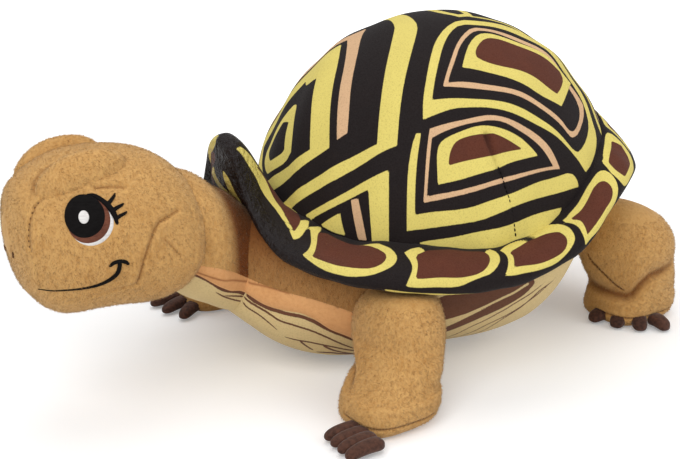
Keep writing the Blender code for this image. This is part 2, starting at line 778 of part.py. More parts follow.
def eye_cylinder(toy, side):
    """A round rod that marks out one eye on the head."""
    way, across, height = EYE_PLACE_SHARES
    centre = head_point(toy, way, side * across, height)
    bm = bmesh.new()
    bmesh.ops.create_cone(bm, cap_ends=True, segments=EYE_POINTS, radius1=EYE_RADIUS,
                          radius2=EYE_RADIUS, depth=2 * OVERRUN)
    mesh = bpy.data.meshes.new("eye")
    bm.to_mesh(mesh)
    bm.free()
    turn = Matrix.Rotation(side * math.radians(-EYE_TURN), 4, "Z")
    lift = Matrix.Rotation(side * math.radians(90 - EYE_LIFT), 4, "Y")
    mesh.transform(Matrix.Translation(centre) @ turn @ lift)
    return mesh


def build_head(toy, joint):
    """Cover with chin and cheek panels, brow pads, eyes and filling."""
    half = SEAM_GAP / 2
    width = HEAD_WIDTH / 2 + OVERRUN
    pivot = toy.places[joint.name]
    socket = toy.cutter("head_socket",
                        room(pivot, [NECK_TOP_RADIUS] * 3, SEAM_GAP, ROOM_SEGMENTS))
    skin = toy.cutter("head_skin", head_form(toy, 0))
    boolean(skin, toy.cutter("head_hollow", head_form(toy, COVER_THICKNESS)))
    boolean(skin, socket)
    cheeks_out = toy.cutter("cheeks_out", side_prism(cheek_outline(toy, -half), -width, width))
    chin_out = toy.cutter("chin_out", side_prism(chin_outline(toy, -half), -width, width))
    cover = toy.piece("head_cover", realised(skin), "tan_plush", joint)
    boolean(cover, cheeks_out)
    boolean(cover, chin_out)
    chin_region = toy.cutter("chin_region", side_prism(chin_outline(toy, half), -width, width))
    chin = toy.piece("chin_panel", realised(skin), "tan_plush", joint)
    boolean(chin, chin_region, "INTERSECT")
    filling = toy.piece("head_filling", head_form(toy, COVER_THICKNESS + SEAM_GAP),
                        "polyester_fill", joint)
    boolean(filling, socket)
    envelope = toy.cutter("head_envelope", head_form(toy, -SEAM_GAP))
    for name, side in (("left", 1), ("right", -1)):
        low, high = (0, width) if side > 0 else (-width, 0)
        region = toy.cutter("cheek_region_" + name,
                            side_prism(cheek_outline(toy, half), low, high))
        cheek = toy.piece("cheek_" + name, realised(skin), "tan_plush", joint)
        boolean(cheek, region, "INTERSECT")
        build_brow_and_eye(toy, joint, name, side, envelope)


def build_brow_and_eye(toy, joint, name, side, envelope):
    """The padded brow and the eye on one side of the head."""
    way, across, height = BROW_PLACE_SHARES
    centre = head_point(toy, way, side * across, height)
    semi_axes = (BROW_WIDTH / 2, BROW_LENGTH / 2, BROW_HEIGHT / 2)
    brow = toy.piece("brow_pad_" + name, ellipsoid(centre, semi_axes, HEAD_POINTS),
                     "tan_plush", joint)
    boolean(brow, envelope)
    brow_room = toy.cutter("brow_room_" + name, room(centre, semi_axes, SEAM_GAP, ROOM_SEGMENTS))
    eye = toy.piece("eye_" + name, head_form(toy, -SEAM_GAP - EYE_THICKNESS),
                    "eye_thread", joint)
    boolean(eye, toy.cutter("eye_rod_" + name, eye_cylinder(toy, side)), "INTERSECT")
    boolean(eye, envelope)
    boolean(eye, brow_room)


# Legs

class Leg:
    """Sizes of one leg in the shell's frame."""

    def __init__(self, name, side, hip, hip_radius, hip_half_width, foot, turn):
        self.name = name
        self.side = side
        self.hip = Vector(hip)
        self.hip_radius = hip_radius
        self.hip_half_width = hip_half_width
        self.foot = Vector(foot)
        self.turn = side * math.radians(turn)

    def section(self, height, way, pinch, inset):
        """One level ring of the leg."""
        centre = self.foot.lerp(self.hip, way)
        half_width = pinch * (FOOT_HALF_WIDTH + (self.hip_half_width - FOOT_HALF_WIDTH) * way) - inset
        half_length = pinch * (FOOT_HALF_LENGTH + (self.hip_radius - FOOT_HALF_LENGTH) * way) - inset
        return self.ring(centre, half_width, half_length, height)

    def ring(self, centre, half_width, half_length, height):
        """A level ellipse."""
        return [(centre.x + half_width * math.sin(angle), centre.y + half_length * math.cos(angle),
                 height) for angle in ring_angles(LEG_POINTS)]

    def form(self, inset, bottom):
        """The leg from its foot up to the round top that turns in the body."""
        rings = [self.section(bottom, 0, FOOT_HEEL_SHARE, inset)]
        for height, way, pinch in LEG_SECTION_SHARES:
            rings.append(self.section(height * self.hip.z, way, pinch, inset))
        for angle in np.radians(HIP_RING_ANGLES):
            rings.append(self.ring(self.hip, (self.hip_half_width - inset) * math.cos(angle),
                                   (self.hip_radius - inset) * math.cos(angle),
                                   self.hip.z + (self.hip_radius - inset) * math.sin(angle)))
        return loft(rings)

    def socket(self):
        """The room that the top of the leg turns in."""
        return room(self.hip, (self.hip_half_width, self.hip_radius, self.hip_radius), SEAM_GAP,
                    ROOM_SEGMENTS)


def make_legs():
    """The four legs, from their named sizes."""
    legs = []
    for side, label in ((1, "left"), (-1, "right")):
        hip = (side * FRONT_HIP_SPAN_SHARE * SHELL_WIDTH / 2,
               -FRONT_HIP_AHEAD_SHARE * SHELL_LENGTH, FRONT_HIP_HEIGHT)
        foot = (side * FRONT_FOOT_SPAN_SHARE * SHELL_WIDTH / 2,
                -FRONT_FOOT_AHEAD_SHARE * SHELL_LENGTH, 0)
        legs.append(Leg("front_" + label, side, hip, FRONT_HIP_RADIUS, FRONT_HIP_HALF_WIDTH, foot,
                        FRONT_FOOT_TURN))
        hip = (side * HIND_HIP_SPAN_SHARE * SHELL_WIDTH / 2,
               HIND_HIP_BEHIND_SHARE * SHELL_LENGTH, HIND_HIP_HEIGHT)
        foot = (side * HIND_FOOT_SPAN_SHARE * SHELL_WIDTH / 2,
                HIND_FOOT_BEHIND_SHARE * SHELL_LENGTH, 0)
        legs.append(Leg("hind_" + label, side, hip, HIND_HIP_RADIUS, HIND_HIP_HALF_WIDTH, foot,
                        HIND_FOOT_TURN))
    return legs


def claw_mesh(leg, place):
    """One claw: a stretched bean that points away from the foot."""
    turn = leg.turn + place * CLAW_SPACING / FOOT_HALF_LENGTH
    out = Vector((math.sin(turn), -math.cos(turn), 0))
    edge = leg.foot + Vector((out.x * FOOT_HALF_WIDTH, out.y * FOOT_HALF_LENGTH, 0))
    centre = edge + out * CLAW_LENGTH * CLAW_REACH_SHARE
    centre.z = CLAW_RADIUS + SEAM_GAP
    return ellipsoid(centre, (CLAW_RADIUS, CLAW_LENGTH / 2, CLAW_RADIUS), CLAW_POINTS, turn)


def claw_base_mesh(leg):
    """The bar that the claws of a foot grow from."""
    out = Vector((math.sin(leg.turn), -math.cos(leg.turn), 0))
    centre = leg.foot + Vector((out.x * FOOT_HALF_WIDTH, out.y * FOOT_HALF_LENGTH, 0))
    centre.z = CLAW_RADIUS + SEAM_GAP
    wide, deep, thick = CLAW_BASE_SHARES
    semi_axes = (FOOT_HALF_WIDTH * wide, CLAW_LENGTH * deep, CLAW_RADIUS * thick)
    return ellipsoid(centre, semi_axes, LEG_POINTS, leg.turn)


def build_leg(toy, leg, joint):
    """Cover, filling, sole and claws of one leg."""
    ground = SOLE_THICKNESS + SEAM_GAP
    cover = toy.piece(leg.name + "_leg_cover", leg.form(0, ground), "tan_plush", joint)
    hollow = toy.cutter(leg.name + "_hollow", leg.form(COVER_THICKNESS, -OVERRUN))
    boolean(cover, hollow)
    toy.piece(leg.name + "_leg_filling", leg.form(COVER_THICKNESS + SEAM_GAP, ground),
              "polyester_fill", joint)
    half_width = FOOT_HEEL_SHARE * FOOT_HALF_WIDTH
    half_length = FOOT_HEEL_SHARE * FOOT_HALF_LENGTH
    sole = loft([leg.ring(leg.foot, half_width, half_length, height)
                 for height in (0, SOLE_THICKNESS)])
    toy.piece(leg.name + "_sole", sole, "tan_plush", joint)
    claws = toy.piece(leg.name + "_claws", claw_base_mesh(leg), "claw_suede", joint)
    for number, place in enumerate(CLAW_PLACES):
        finger = toy.cutter(f"{leg.name}_claw_{number}", claw_mesh(leg, place))
        boolean(claws, finger, "UNION")
    boolean(claws, toy.cutter(leg.name + "_envelope", leg.form(-SEAM_GAP, -OVERRUN)))


# Whole toy

def centre_on_origin(toy):
    """Carry the toy so that its origin is on the floor, under the middle of its length."""
    bpy.context.view_layer.update()
    graph = bpy.context.evaluated_depsgraph_get()
    lengths = []
    for obj in toy.parts.objects:
        if obj.type == "MESH":
            world = obj.matrix_world
            mesh = obj.evaluated_get(graph).data
            lengths += [(world @ vertex.co).y for vertex in mesh.vertices]
    toy.root.location.y = -(min(lengths) + max(lengths)) / 2
    bpy.context.view_layer.update()


def main():
    clear_scene()
    toy = Toy()
    throat = -SHELL_LENGTH / 2 - TORSO_FRONT_OVERHANG
    neck = toy.joint("neck_joint", (0, throat, NECK_BASE_HEIGHT), toy.root)
    head = toy.joint("head_joint", (0, throat - NECK_REACH, NECK_BASE_HEIGHT + NECK_RISE), neck)
    rump = SHELL_LENGTH / 2 + TORSO_REAR_OVERHANG
    tail = toy.joint("tail_joint", (0, rump - TAIL_INSET, TAIL_HEIGHT), toy.root)
    legs = make_legs()
    sockets = [toy.cutter(leg.name + "_socket", leg.socket()) for leg in legs]
    for name, radius in (("neck_joint", NECK_BASE_RADIUS), ("tail_joint", TAIL_RADIUS)):
        ball = room(toy.places[name], [radius] * 3, SEAM_GAP, ROOM_SEGMENTS)
        sockets.append(toy.cutter(name + "_socket", ball))
    build_shell(toy)
    build_rim(toy)
    build_torso(toy, sockets)
    build_neck(toy, neck)
    build_head(toy, head)
    build_tail(toy, tail)
    for leg in legs:
        joint = toy.joint(leg.name + "_leg_joint", leg.hip, toy.root)
        build_leg(toy, leg, joint)
    centre_on_origin(toy)


main()
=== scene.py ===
"""A sewn turtle toy: a printed velour shell with a padded rim, a tan plush body and a satin chest.

Lengths are in metres, or in millimetres where a comment says so. Shapes are worked out in the
shell's frame, where y = 0 is the middle of the shell and the face points to -y, and are then
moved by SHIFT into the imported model's frame. A turn round the body, the neck or the head counts
from its top, round the shell from its front, and round a leg from its rear.
"""
import json
import math
from collections import namedtuple

import bpy
import numpy as np
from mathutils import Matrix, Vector


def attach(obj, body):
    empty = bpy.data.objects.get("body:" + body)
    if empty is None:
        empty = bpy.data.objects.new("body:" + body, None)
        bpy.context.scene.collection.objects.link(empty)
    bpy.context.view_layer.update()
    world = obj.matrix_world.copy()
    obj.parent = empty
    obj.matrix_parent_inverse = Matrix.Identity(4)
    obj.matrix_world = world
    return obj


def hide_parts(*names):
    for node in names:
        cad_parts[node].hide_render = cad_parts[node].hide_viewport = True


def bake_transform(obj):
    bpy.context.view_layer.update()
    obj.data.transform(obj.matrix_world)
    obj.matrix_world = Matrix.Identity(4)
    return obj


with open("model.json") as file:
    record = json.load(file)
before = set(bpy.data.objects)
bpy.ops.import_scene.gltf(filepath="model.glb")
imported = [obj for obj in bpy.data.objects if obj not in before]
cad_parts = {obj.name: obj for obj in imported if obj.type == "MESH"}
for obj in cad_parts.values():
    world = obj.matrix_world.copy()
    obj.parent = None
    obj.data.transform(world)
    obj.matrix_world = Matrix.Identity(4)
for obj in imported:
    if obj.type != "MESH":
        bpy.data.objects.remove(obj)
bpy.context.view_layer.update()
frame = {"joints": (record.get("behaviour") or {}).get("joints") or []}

SIDES = (("left", 1), ("right", -1))
DOME = np.array([0.088, 0.102, 0.107])  # half width, half length and rise of the dome
DOME_LEVEL = 0.0615
THROAT, RUMP = -0.126, 0.113  # front and rear end of the body
HINGE = next(joint["pos_m"] for joint in frame["joints"] if joint["name"] == "neck_nod")
SHIFT = np.array([0, HINGE[1] - THROAT, 0])


# Surfaces

def smooth(table, where):
    """Cubic curve through a table of (place, value, ...) rows, at an array of places."""
    table = np.asarray(table, float)
    places, values = table[:, 0], table[:, 1:]
    slopes = np.gradient(values, places, axis=0)
    where = np.clip(np.asarray(where, float), places[0], places[-1])
    i = np.clip(np.searchsorted(places, where, side="right") - 1, 0, len(places) - 2)
    span = (places[i + 1] - places[i])[..., None]
    t = (where - places[i])[..., None] / span
    start = values[i] * (1 + 2 * t) + slopes[i] * span * t
    end = values[i + 1] * (3 - 2 * t) - slopes[i + 1] * span * (1 - t)
    found = start * (1 - t) ** 2 + end * t ** 2
    return found[..., 0] if values.shape[1] == 1 else found


def power(value, exponent):
    """Power that keeps the sign."""
    return np.sign(value) * np.abs(value) ** exponent


def bump(x, centre, width):
    """Bell curve of height one."""
    return np.exp(-((x - centre) / width) ** 2)


def ramp(x, start, end):
    """Straight rise from 0 at start to 1 at end."""
    return np.clip((x - start) / (end - start), 0, 1)


def unit(vectors):
    """Vectors brought to length one."""
    return vectors / np.maximum(np.linalg.norm(vectors, axis=-1, keepdims=True), 1e-12)


def circle(count):
    """Turns of the points of a closed ring."""
    return np.linspace(0, 2 * np.pi, count, endpoint=False)


def travelled(line):
    """Length along a bent line up to each of its points."""
    return np.concatenate([[0], np.cumsum(np.linalg.norm(np.diff(line, axis=0), axis=1))])


def put(name, mesh, marks):
    """Give a mesh its point attributes and an object in the scene."""
    for key, value in marks.items():
        kind, field = ("FLOAT", "value") if value.ndim == 1 else ("FLOAT_VECTOR", "vector")
        data = mesh.attributes.new(key, kind, "POINT").data
        data.foreach_set(field, value.astype(np.float32).ravel())
    mesh.shade_smooth()
    obj = bpy.data.objects.new(name, mesh)
    bpy.context.scene.collection.objects.link(obj)
    return obj


def cloth(name, grid, wrap=True, ring=False, start=None, end=None, marks=None, moved=True):
    """Mesh over a grid of points (rows, columns, 3). wrap joins the last column to the first, and
    ring the last row to the first. start and end are points that close the first and the last
    row, and marks are attributes of the points."""
    rows, columns = grid.shape[:2]
    index = np.arange(rows * columns).reshape(rows, columns)
    if wrap:
        index = np.concatenate([index, index[:, :1]], axis=1)
    if ring:
        index = np.concatenate([index, index[:1]])
    faces = np.stack([index[:-1, :-1], index[:-1, 1:], index[1:, 1:], index[1:, :-1]], -1)
    faces = faces.reshape(-1, 4).tolist()
    points, closed = [grid.reshape(-1, 3)], []
    for point, row, edge in ((start, 0, index[0]), (end, rows - 1, index[-1][::-1])):
        if point is not None:
            pole = rows * columns + len(closed)
            closed.append(row)
            points.append(np.reshape(point, (1, 3)))
            faces += [[pole, int(b), int(a)] for a, b in zip(edge[:-1], edge[1:])]
    points = np.concatenate(points)
    mesh = bpy.data.meshes.new(name)
    mesh.from_pydata((points + SHIFT if moved else points).tolist(), [], faces)
    corners = points[np.array([face[:3] for face in faces])] - points.mean(0)
    if np.einsum("ij,ij->", np.cross(corners[:, 0], corners[:, 1]), corners[:, 2]) < 0:
        mesh.flip_normals()
    flat = {}
    for key, value in (marks or {}).items():
        ends = [value[row].mean(0, keepdims=True) for row in closed]
        flat[key] = np.concatenate([value.reshape(rows * columns, *value.shape[2:])] + ends)
    return put(name, mesh, flat)


def join(name, parts):
    """One piece made of several meshes."""
    bpy.ops.object.select_all(action="DESELECT")
    for part in parts:
        part.select_set(True)
    bpy.context.view_layer.objects.active = parts[0]
    bpy.ops.object.join()
    parts[0].name = parts[0].data.name = name
    return parts[0]


def dress(piece, material, body, nodes=()):
    """Give a piece its material and its body, and hide the imported parts that it replaces."""
    piece.data.materials.clear()
    piece.data.materials.append(material)
    if body:
        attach(piece, body)
    if nodes:
        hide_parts(*nodes)
    return piece


# Outlines and lines

SHARP_BEND = 50    # degrees from which a corner of an outline stays sharp
BLANK = 9.0        # millimetres to a print that isn't there
LINE_STEP = 1.6    # millimetres between the points of a line laid on cloth
LINE_REACH = 7     # millimetres over which such a point is moved onto the cloth


def polygon_distance(u, v, corners):
    """Signed distance to a closed polygon, negative inside: the nearest of all its sides, with
    the sign from how often a ray crosses them."""
    nearest = np.full(u.shape, 1e9)
    inside = np.zeros(u.shape, bool)
    for (ax, ay), (bx, by) in zip(corners, np.roll(corners, -1, 0)):
        dx, dy = bx - ax, by - ay
        t = np.clip(((u - ax) * dx + (v - ay) * dy) / (dx * dx + dy * dy), 0, 1)
        nearest = np.minimum(nearest, (u - ax - t * dx) ** 2 + (v - ay - t * dy) ** 2)
        if dy:
            inside ^= ((ay > v) != (by > v)) & (u < dx * (v - ay) / dy + ax)
    return np.where(inside, -1, 1) * np.sqrt(nearest)


def soften(corners):
    """An outline with its gentle bends rounded and its sharp corners kept."""
    corners = np.array(corners, float)
    back, on = np.roll(corners, 1, 0) - corners, np.roll(corners, -1, 0) - corners
    lengths = np.linalg.norm(back, axis=1) * np.linalg.norm(on, axis=1)
    bend = np.degrees(np.arccos(np.clip(-(back * on).sum(1) / np.maximum(lengths, 1e-9), -1, 1)))
    gentle = bend < SHARP_BEND
    share = np.where(gentle, 0.25, 0.0)[:, None]
    both = np.stack([corners + share * back, corners + share * on], 1)
    return both[np.stack([np.ones(len(corners), bool), gentle], 1)]


def printed(u, v, layers):
    """Signed distances to the yellow, pink and brown of a print, painted layer by layer over a
    black ground. A layer is a colour and the corners of its outline."""
    sheet = np.full(u.shape + (3,), 50.0)
    for colour, corners in layers:
        away = polygon_distance(u, v, soften(corners))
        for k, name in enumerate(("yellow", "pink", "brown")):
            if name == colour:
                sheet[..., k] = np.minimum(sheet[..., k], away)
            else:
                sheet[..., k] = np.maximum(sheet[..., k], -away)
    return sheet


def near_side(points):
    """Points with those of the far side moved to the near side, where lines are given."""
    points = np.array(points, float)
    points[..., 0] = np.abs(points[..., 0])
    return points


def near_line(points, line):
    """Distance from points to a bent line, and the share of its length there."""
    points, line = near_side(points), np.asarray(line, float)
    length = travelled(line)
    nearest, share = np.full(points.shape[:-1], 1e9), np.zeros(points.shape[:-1])
    for k, (a, b) in enumerate(zip(line[:-1], line[1:])):
        t = np.clip(((points - a) @ (b - a)) / ((b - a) @ (b - a)), 0, 1)
        away = np.linalg.norm(points - a - t[..., None] * (b - a), axis=-1)
        closer = away < nearest
        nearest = np.where(closer, away, nearest)
        share = np.where(closer, (length[k] + t * (length[k + 1] - length[k])) / length[-1], share)
    return nearest, share


def lay_on(points, line):
    """A line in close steps, each moved onto the nearest of some points, then evened out."""
    spots, line = near_side(points).reshape(-1, 3), np.array(line, float)
    way = travelled(line)
    fine = np.linspace(0, way[-1], int(way[-1] / LINE_STEP) + 2)
    line = np.stack([np.interp(fine, way, line[:, k]) for k in range(3)], -1)
    gaps = ((spots[None] - line[:, None]) ** 2).sum(-1)
    laid = gaps.min(1) < LINE_REACH ** 2
    line[laid] = spots[gaps.argmin(1)[laid]]
    for _ in range(3):
        line[1:-1] = (line[:-2] + 2 * line[1:-1] + line[2:]) / 4
    return line


def off_laid(points, line):
    """Millimetres from points to a line laid on them, and the share of its length there."""
    return near_line(points * 1000, lay_on(points * 1000, line))


# Thread and pile

STITCH_POINTS, STITCH_SIDES, LINE_SIDES = 7, 6, 12
BLADE_THICKNESS, BLADE_ROOT = 0.00017, 0.00025  # the root is how deep a blade stands in the cloth
BLADE_FACES = np.array([[0, 1, 2], [0, 3, 1], [1, 3, 2], [2, 3, 0]])
THREAD_UP = (0.25, 0.15, 0.95)


def tube(name, path, radius, sides, flat=1.0, normal=THREAD_UP):
    """Thread along a path of points: a ring of the radius round each, square to the path, and
    pressed flat along the normal. The ends close on the last points."""
    step = unit(np.gradient(path, axis=0))
    side = unit(np.cross(step, np.broadcast_to(normal, path.shape)))
    up = np.cross(side, step)
    turn = circle(sides)[None, :, None]
    radius = np.broadcast_to(radius, len(path))[:, None, None]
    ring = side[:, None] * np.cos(turn) + up[:, None] * flat * np.sin(turn)
    return cloth(name, path[:, None] + ring * radius, start=path[0] - step[0] * radius[0, 0],
                 end=path[-1] + step[-1] * radius[-1, 0])


def stitches(name, line, count, length, radius, thread, body):
    """Short raised threads set one after another along a bent line."""
    along = travelled(line)
    reach = np.linspace(-1, 1, STITCH_POINTS)
    swell = radius * np.sqrt(1 - (0.95 * reach) ** 2)
    parts = []
    for place in (np.arange(count) + 0.5) / count * along[-1]:
        t = np.clip(place + reach / 2 * length, 0, along[-1])
        path = np.stack([np.interp(t, along, line[:, k]) for k in range(3)], -1)
        parts.append(tube("stitch", path, swell, STITCH_SIDES))
    dress(join(name, parts), thread, body)


def pile(name, grid, count, length, body, seed, wrap=True, keep=None, dark=None):
    """Short pile over a grid of points: three-sided blades, each on a random spot of the cloth,
    that lean down and back and end in a point. keep tells of places whether blades may stand
    there, and dark gives the painted shade of each point of the grid."""
    dark = np.zeros(grid.shape[:2]) if dark is None else dark
    if wrap:
        grid, dark = (np.concatenate([each, each[:, :1]], axis=1) for each in (grid, dark))
    a, b, c, d = grid[:-1, :-1], grid[:-1, 1:], grid[1:, 1:], grid[1:, :-1]
    cross = np.cross(c - a, d - b).reshape(-1, 3)
    area = np.linalg.norm(cross, axis=1)
    random = np.random.default_rng(seed)
    chosen = random.choice(len(area), count, p=area / area.sum())
    u, v = random.random((2, count, 1))
    a, b, c, d = (corner.reshape(-1, 3)[chosen] for corner in (a, b, c, d))
    root = (1 - u) * ((1 - v) * a + v * b) + u * ((1 - v) * d + v * c)
    out = unit(cross[chosen])
    middle = grid.reshape(-1, 3).mean(0)
    out *= np.sign(((root - middle) * out).sum(1).mean())
    dark = dark[:-1, :-1].reshape(-1)[chosen]
    if keep is not None:
        held = keep(root)
        root, out, dark = root[held], out[held], dark[held]
    lay = np.array([0, 0.45, -0.9]) + 0.45 * random.standard_normal((len(root), 3))
    lay = unit(lay - out * (lay * out).sum(1, keepdims=True))
    side = np.cross(out, lay)
    lean = np.radians(random.uniform(18, 48, (len(root), 1)))
    reach = length * random.uniform(0.6, 1.1, (len(root), 1))
    tip = root + reach * (lay * np.cos(lean) + out * np.sin(lean))
    root = root - BLADE_ROOT * out
    points = np.stack([root + BLADE_THICKNESS * side,
                       root - BLADE_THICKNESS * (0.5 * side - 0.87 * out),
                       root - BLADE_THICKNESS * (0.5 * side + 0.87 * out), tip], 1).reshape(-1, 3)
    faces = (4 * np.arange(len(root))[:, None, None] + BLADE_FACES).reshape(-1, 3)
    mesh = bpy.data.meshes.new(name)
    mesh.from_pydata((points + SHIFT).tolist(), [], faces.tolist())
    tone = random.uniform(-1, 1, len(root))
    # Each blade carries the painted shade of its spot of cloth, besides its random tone.
    made = put(name, mesh, {"tone": np.repeat(tone, 4), "painted_shade": np.repeat(dark, 4)})
    return dress(made, PLUSH, body)


# Finishes

SHEEN_ROUGHNESS = 0.4


def add(tree, kind, inputs=None, **settings):
    """A node with its settings, and its inputs linked or set."""
    made = tree.nodes.new(kind)
    for key, value in settings.items():
        setattr(made, key, value)
    for key, value in (inputs or {}).items():
        if isinstance(value, bpy.types.NodeSocket):
            tree.links.new(value, made.inputs[key])
        else:
            made.inputs[key].default_value = value
    return made


def group(name, inputs):
    """A node group with named inputs, which gives a colour, a roughness and a height."""
    tree = bpy.data.node_groups.new(name, "ShaderNodeTree")
    for key, kind in inputs:
        tree.interface.new_socket(key, in_out="INPUT", socket_type="NodeSocket" + kind)
    for key, kind in (("Colour", "Color"), ("Roughness", "Float"), ("Height", "Float")):
        tree.interface.new_socket(key, in_out="OUTPUT", socket_type="NodeSocket" + kind)
    return tree, tree.nodes.new("NodeGroupInput").outputs, tree.nodes.new("NodeGroupOutput").inputs


def calc(tree, operation, *values):
    """Result of one Math node."""
    return add(tree, "ShaderNodeMath", dict(enumerate(values)), operation=operation).outputs[0]


def blend(tree, factor, low, high, kind="MIX"):
    """Colour mixed by a factor."""
    return add(tree, "ShaderNodeMix", {0: factor, 6: low, 7: high}, data_type="RGBA",
               blend_type=kind).outputs[2]


def noise(tree, vector, scale, detail, rough):
    """Value of a noise texture."""
    return add(tree, "ShaderNodeTexNoise", {"Vector": vector, "Scale": scale, "Detail": detail,
                                            "Roughness": rough}).outputs[0]


def spread(tree, value, low, high, start=0.0, end=1.0):
    """Value carried from one range into another."""
    return add(tree, "ShaderNodeMapRange",
               {0: value, 1: low, 2: high, 3: start, 4: end}).outputs[0]


def mark(tree, name, output="Fac"):
    """Value of a point attribute."""
    return add(tree, "ShaderNodeAttribute", attribute_name=name).outputs[output]


def pile_group():
    """Short pile: stretched tufts over a fine nap, darker between the tufts and in brushed
    patches. The points' tone makes single blades paler or darker, and their painted shade darkens
    all."""
    tree, given, out = group("short_pile", (("Colour", "Color"), ("Shade", "Color"),
                                            ("Tuft", "Float"), ("Stretch", "Vector")))
    place = add(tree, "ShaderNodeTexCoord").outputs["Object"]
    drawn = add(tree, "ShaderNodeVectorMath", {0: place, 1: given["Stretch"]},
                operation="MULTIPLY").outputs[0]
    tufts = noise(tree, drawn, 620.0, 2.0, 0.5)
    nap = noise(tree, drawn, 2300.0, 1.0, 0.5)
    brushed = noise(tree, place, 55.0, 2.0, 0.6)
    broad = noise(tree, place, 16.0, 1.0, 0.5)
    dark = calc(tree, "MULTIPLY", spread(tree, tufts, 0.52, 0.3), given["Tuft"])
    for field, low, high, most in ((brushed, 0.5, 0.3, 0.35), (nap, 0.55, 0.3, 0.3),
                                   (broad, 0.55, 0.35, 0.25)):
        dark = calc(tree, "ADD", dark, spread(tree, field, low, high, 0.0, most))
    colour = blend(tree, calc(tree, "MINIMUM", dark, 1.0), given["Colour"], given["Shade"])
    pale = calc(tree, "MULTIPLY", spread(tree, tufts, 0.55, 0.75, 0.0, 0.5), given["Tuft"])
    colour = blend(tree, pale, colour, (1, 0.86, 0.62, 1), "SOFT_LIGHT")
    tone = mark(tree, "tone")
    for end, most, shade in ((1.0, 0.36, (0.86, 0.60, 0.30, 1)),
                             (-1.0, 0.26, (0.26, 0.12, 0.035, 1))):
        colour = blend(tree, spread(tree, tone, 0.0, end, 0.0, most), colour, shade)
    # Painted shade from the points' attribute darkens the pile in folds, seams and under the
    # shell.
    colour = blend(tree, mark(tree, "painted_shade"), colour, (0.30, 0.15, 0.08, 1), "MULTIPLY")
    tree.links.new(colour, out["Colour"])
    tree.links.new(spread(tree, tufts, 0.3, 0.7, 0.95, 0.8), out["Roughness"])
    height = calc(tree, "ADD", calc(tree, "MULTIPLY", tufts, given["Tuft"]),
                  calc(tree, "MULTIPLY", nap, 0.35))
    tree.links.new(height, out["Height"])
    return tree


def print_group():
    """Printed cloth: a ground with yellow, pink and brown where the printed distances are below
    zero, with edges that waver with the nap. The points' gloss smooths the cloth and adds
    bristles, and their painted shade, as in the dart's fold, darkens it."""
    tree, given, out = group("printed_velour", (("Ground", "Color"), ("Yellow", "Color"),
                                                ("Pink", "Color"), ("Brown", "Color")))
    place = add(tree, "ShaderNodeTexCoord").outputs["Object"]
    nap = noise(tree, place, 1500.0, 2.0, 0.6)
    clouds = noise(tree, place, 90.0, 3.0, 0.6)
    bristle = noise(tree, place, 420.0, 2.0, 0.6)
    gloss = mark(tree, "gloss")
    parts = add(tree, "ShaderNodeSeparateXYZ", {0: mark(tree, "print", "Vector")}).outputs
    waver = calc(tree, "MULTIPLY", calc(tree, "SUBTRACT", nap, 0.5), 0.5)
    colour = given["Ground"]
    for part, name in zip(parts, ("Yellow", "Pink", "Brown")):
        mask = spread(tree, calc(tree, "ADD", part, waver), 0.15, -0.15)
        colour = blend(tree, mask, colour, given[name])
    # Darker nap, painted shade from the points' attribute, then cloudy tone.
    for factor, shade, kind in (
            (spread(tree, nap, 0.5, 0.25, 0.0, 0.3), (0.25, 0.18, 0.14, 1), "MULTIPLY"),
            (mark(tree, "painted_shade"), (0.12, 0.1, 0.1, 1), "MULTIPLY"),
            (spread(tree, clouds, 0.45, 0.75, 0.0, 0.3), (0.75, 0.68, 0.6, 1), "SOFT_LIGHT")):
        colour = blend(tree, factor, colour, shade, kind)
    tree.links.new(colour, out["Colour"])
    tree.links.new(calc(tree, "SUBTRACT", spread(tree, nap, 0.3, 0.7, 0.9, 0.7),
                        calc(tree, "MULTIPLY", gloss, 0.5)), out["Roughness"])
    relief = calc(tree, "ADD", nap, calc(tree, "MULTIPLY", clouds, 0.6))
    tree.links.new(calc(tree, "ADD", relief, calc(tree, "MULTIPLY", gloss,
                                                  calc(tree, "MULTIPLY", bristle, 5.0))),
                   out["Height"])
    return tree


def finish(name, source, relief, distance, sheen, given, specular=0.3, tint=(1, 1, 1, 1)):
    """A material whose colour, roughness and relief come from a node group."""
    material = bpy.data.materials.new(name)
    material.use_nodes = True
    tree = material.node_tree
    shader = tree.nodes["Principled BSDF"]
    made = add(tree, "ShaderNodeGroup", node_tree=source)
    for key, value in given.items():
        socket = made.inputs[key]
        socket.default_value = (*value, 1) if socket.type == "RGBA" else value
    tree.links.new(made.outputs["Colour"], shader.inputs["Base Color"])
    tree.links.new(made.outputs["Roughness"], shader.inputs["Roughness"])
    raised = add(tree, "ShaderNodeBump", {"Height": made.outputs["Height"], "Strength": relief,
                                          "Distance": distance})
    tree.links.new(raised.outputs[0], shader.inputs["Normal"])
    for key, value in (("Sheen Weight", sheen), ("Sheen Roughness", SHEEN_ROUGHNESS),
                       ("Sheen Tint", tint), ("Specular IOR Level", specular)):
        shader.inputs[key].default_value = value
    return material


def pile_cloth(name, relief, distance, sheen, colour, shade, tuft, stretch=(1, 1, 1), *rest):
    """A cloth or thread in the short pile's finish."""
    return finish(name, PILE, relief, distance, sheen,
                  {"Colour": colour, "Shade": shade, "Tuft": tuft, "Stretch": stretch}, *rest)


def print_cloth(name, relief, distance, sheen, specular, colours):
    """A cloth in the printed finish: its ground, then what stands for yellow, pink and brown."""
    return finish(name, PRINT, relief, distance, sheen,
                  dict(zip(("Ground", "Yellow", "Pink", "Brown"), colours)), specular)


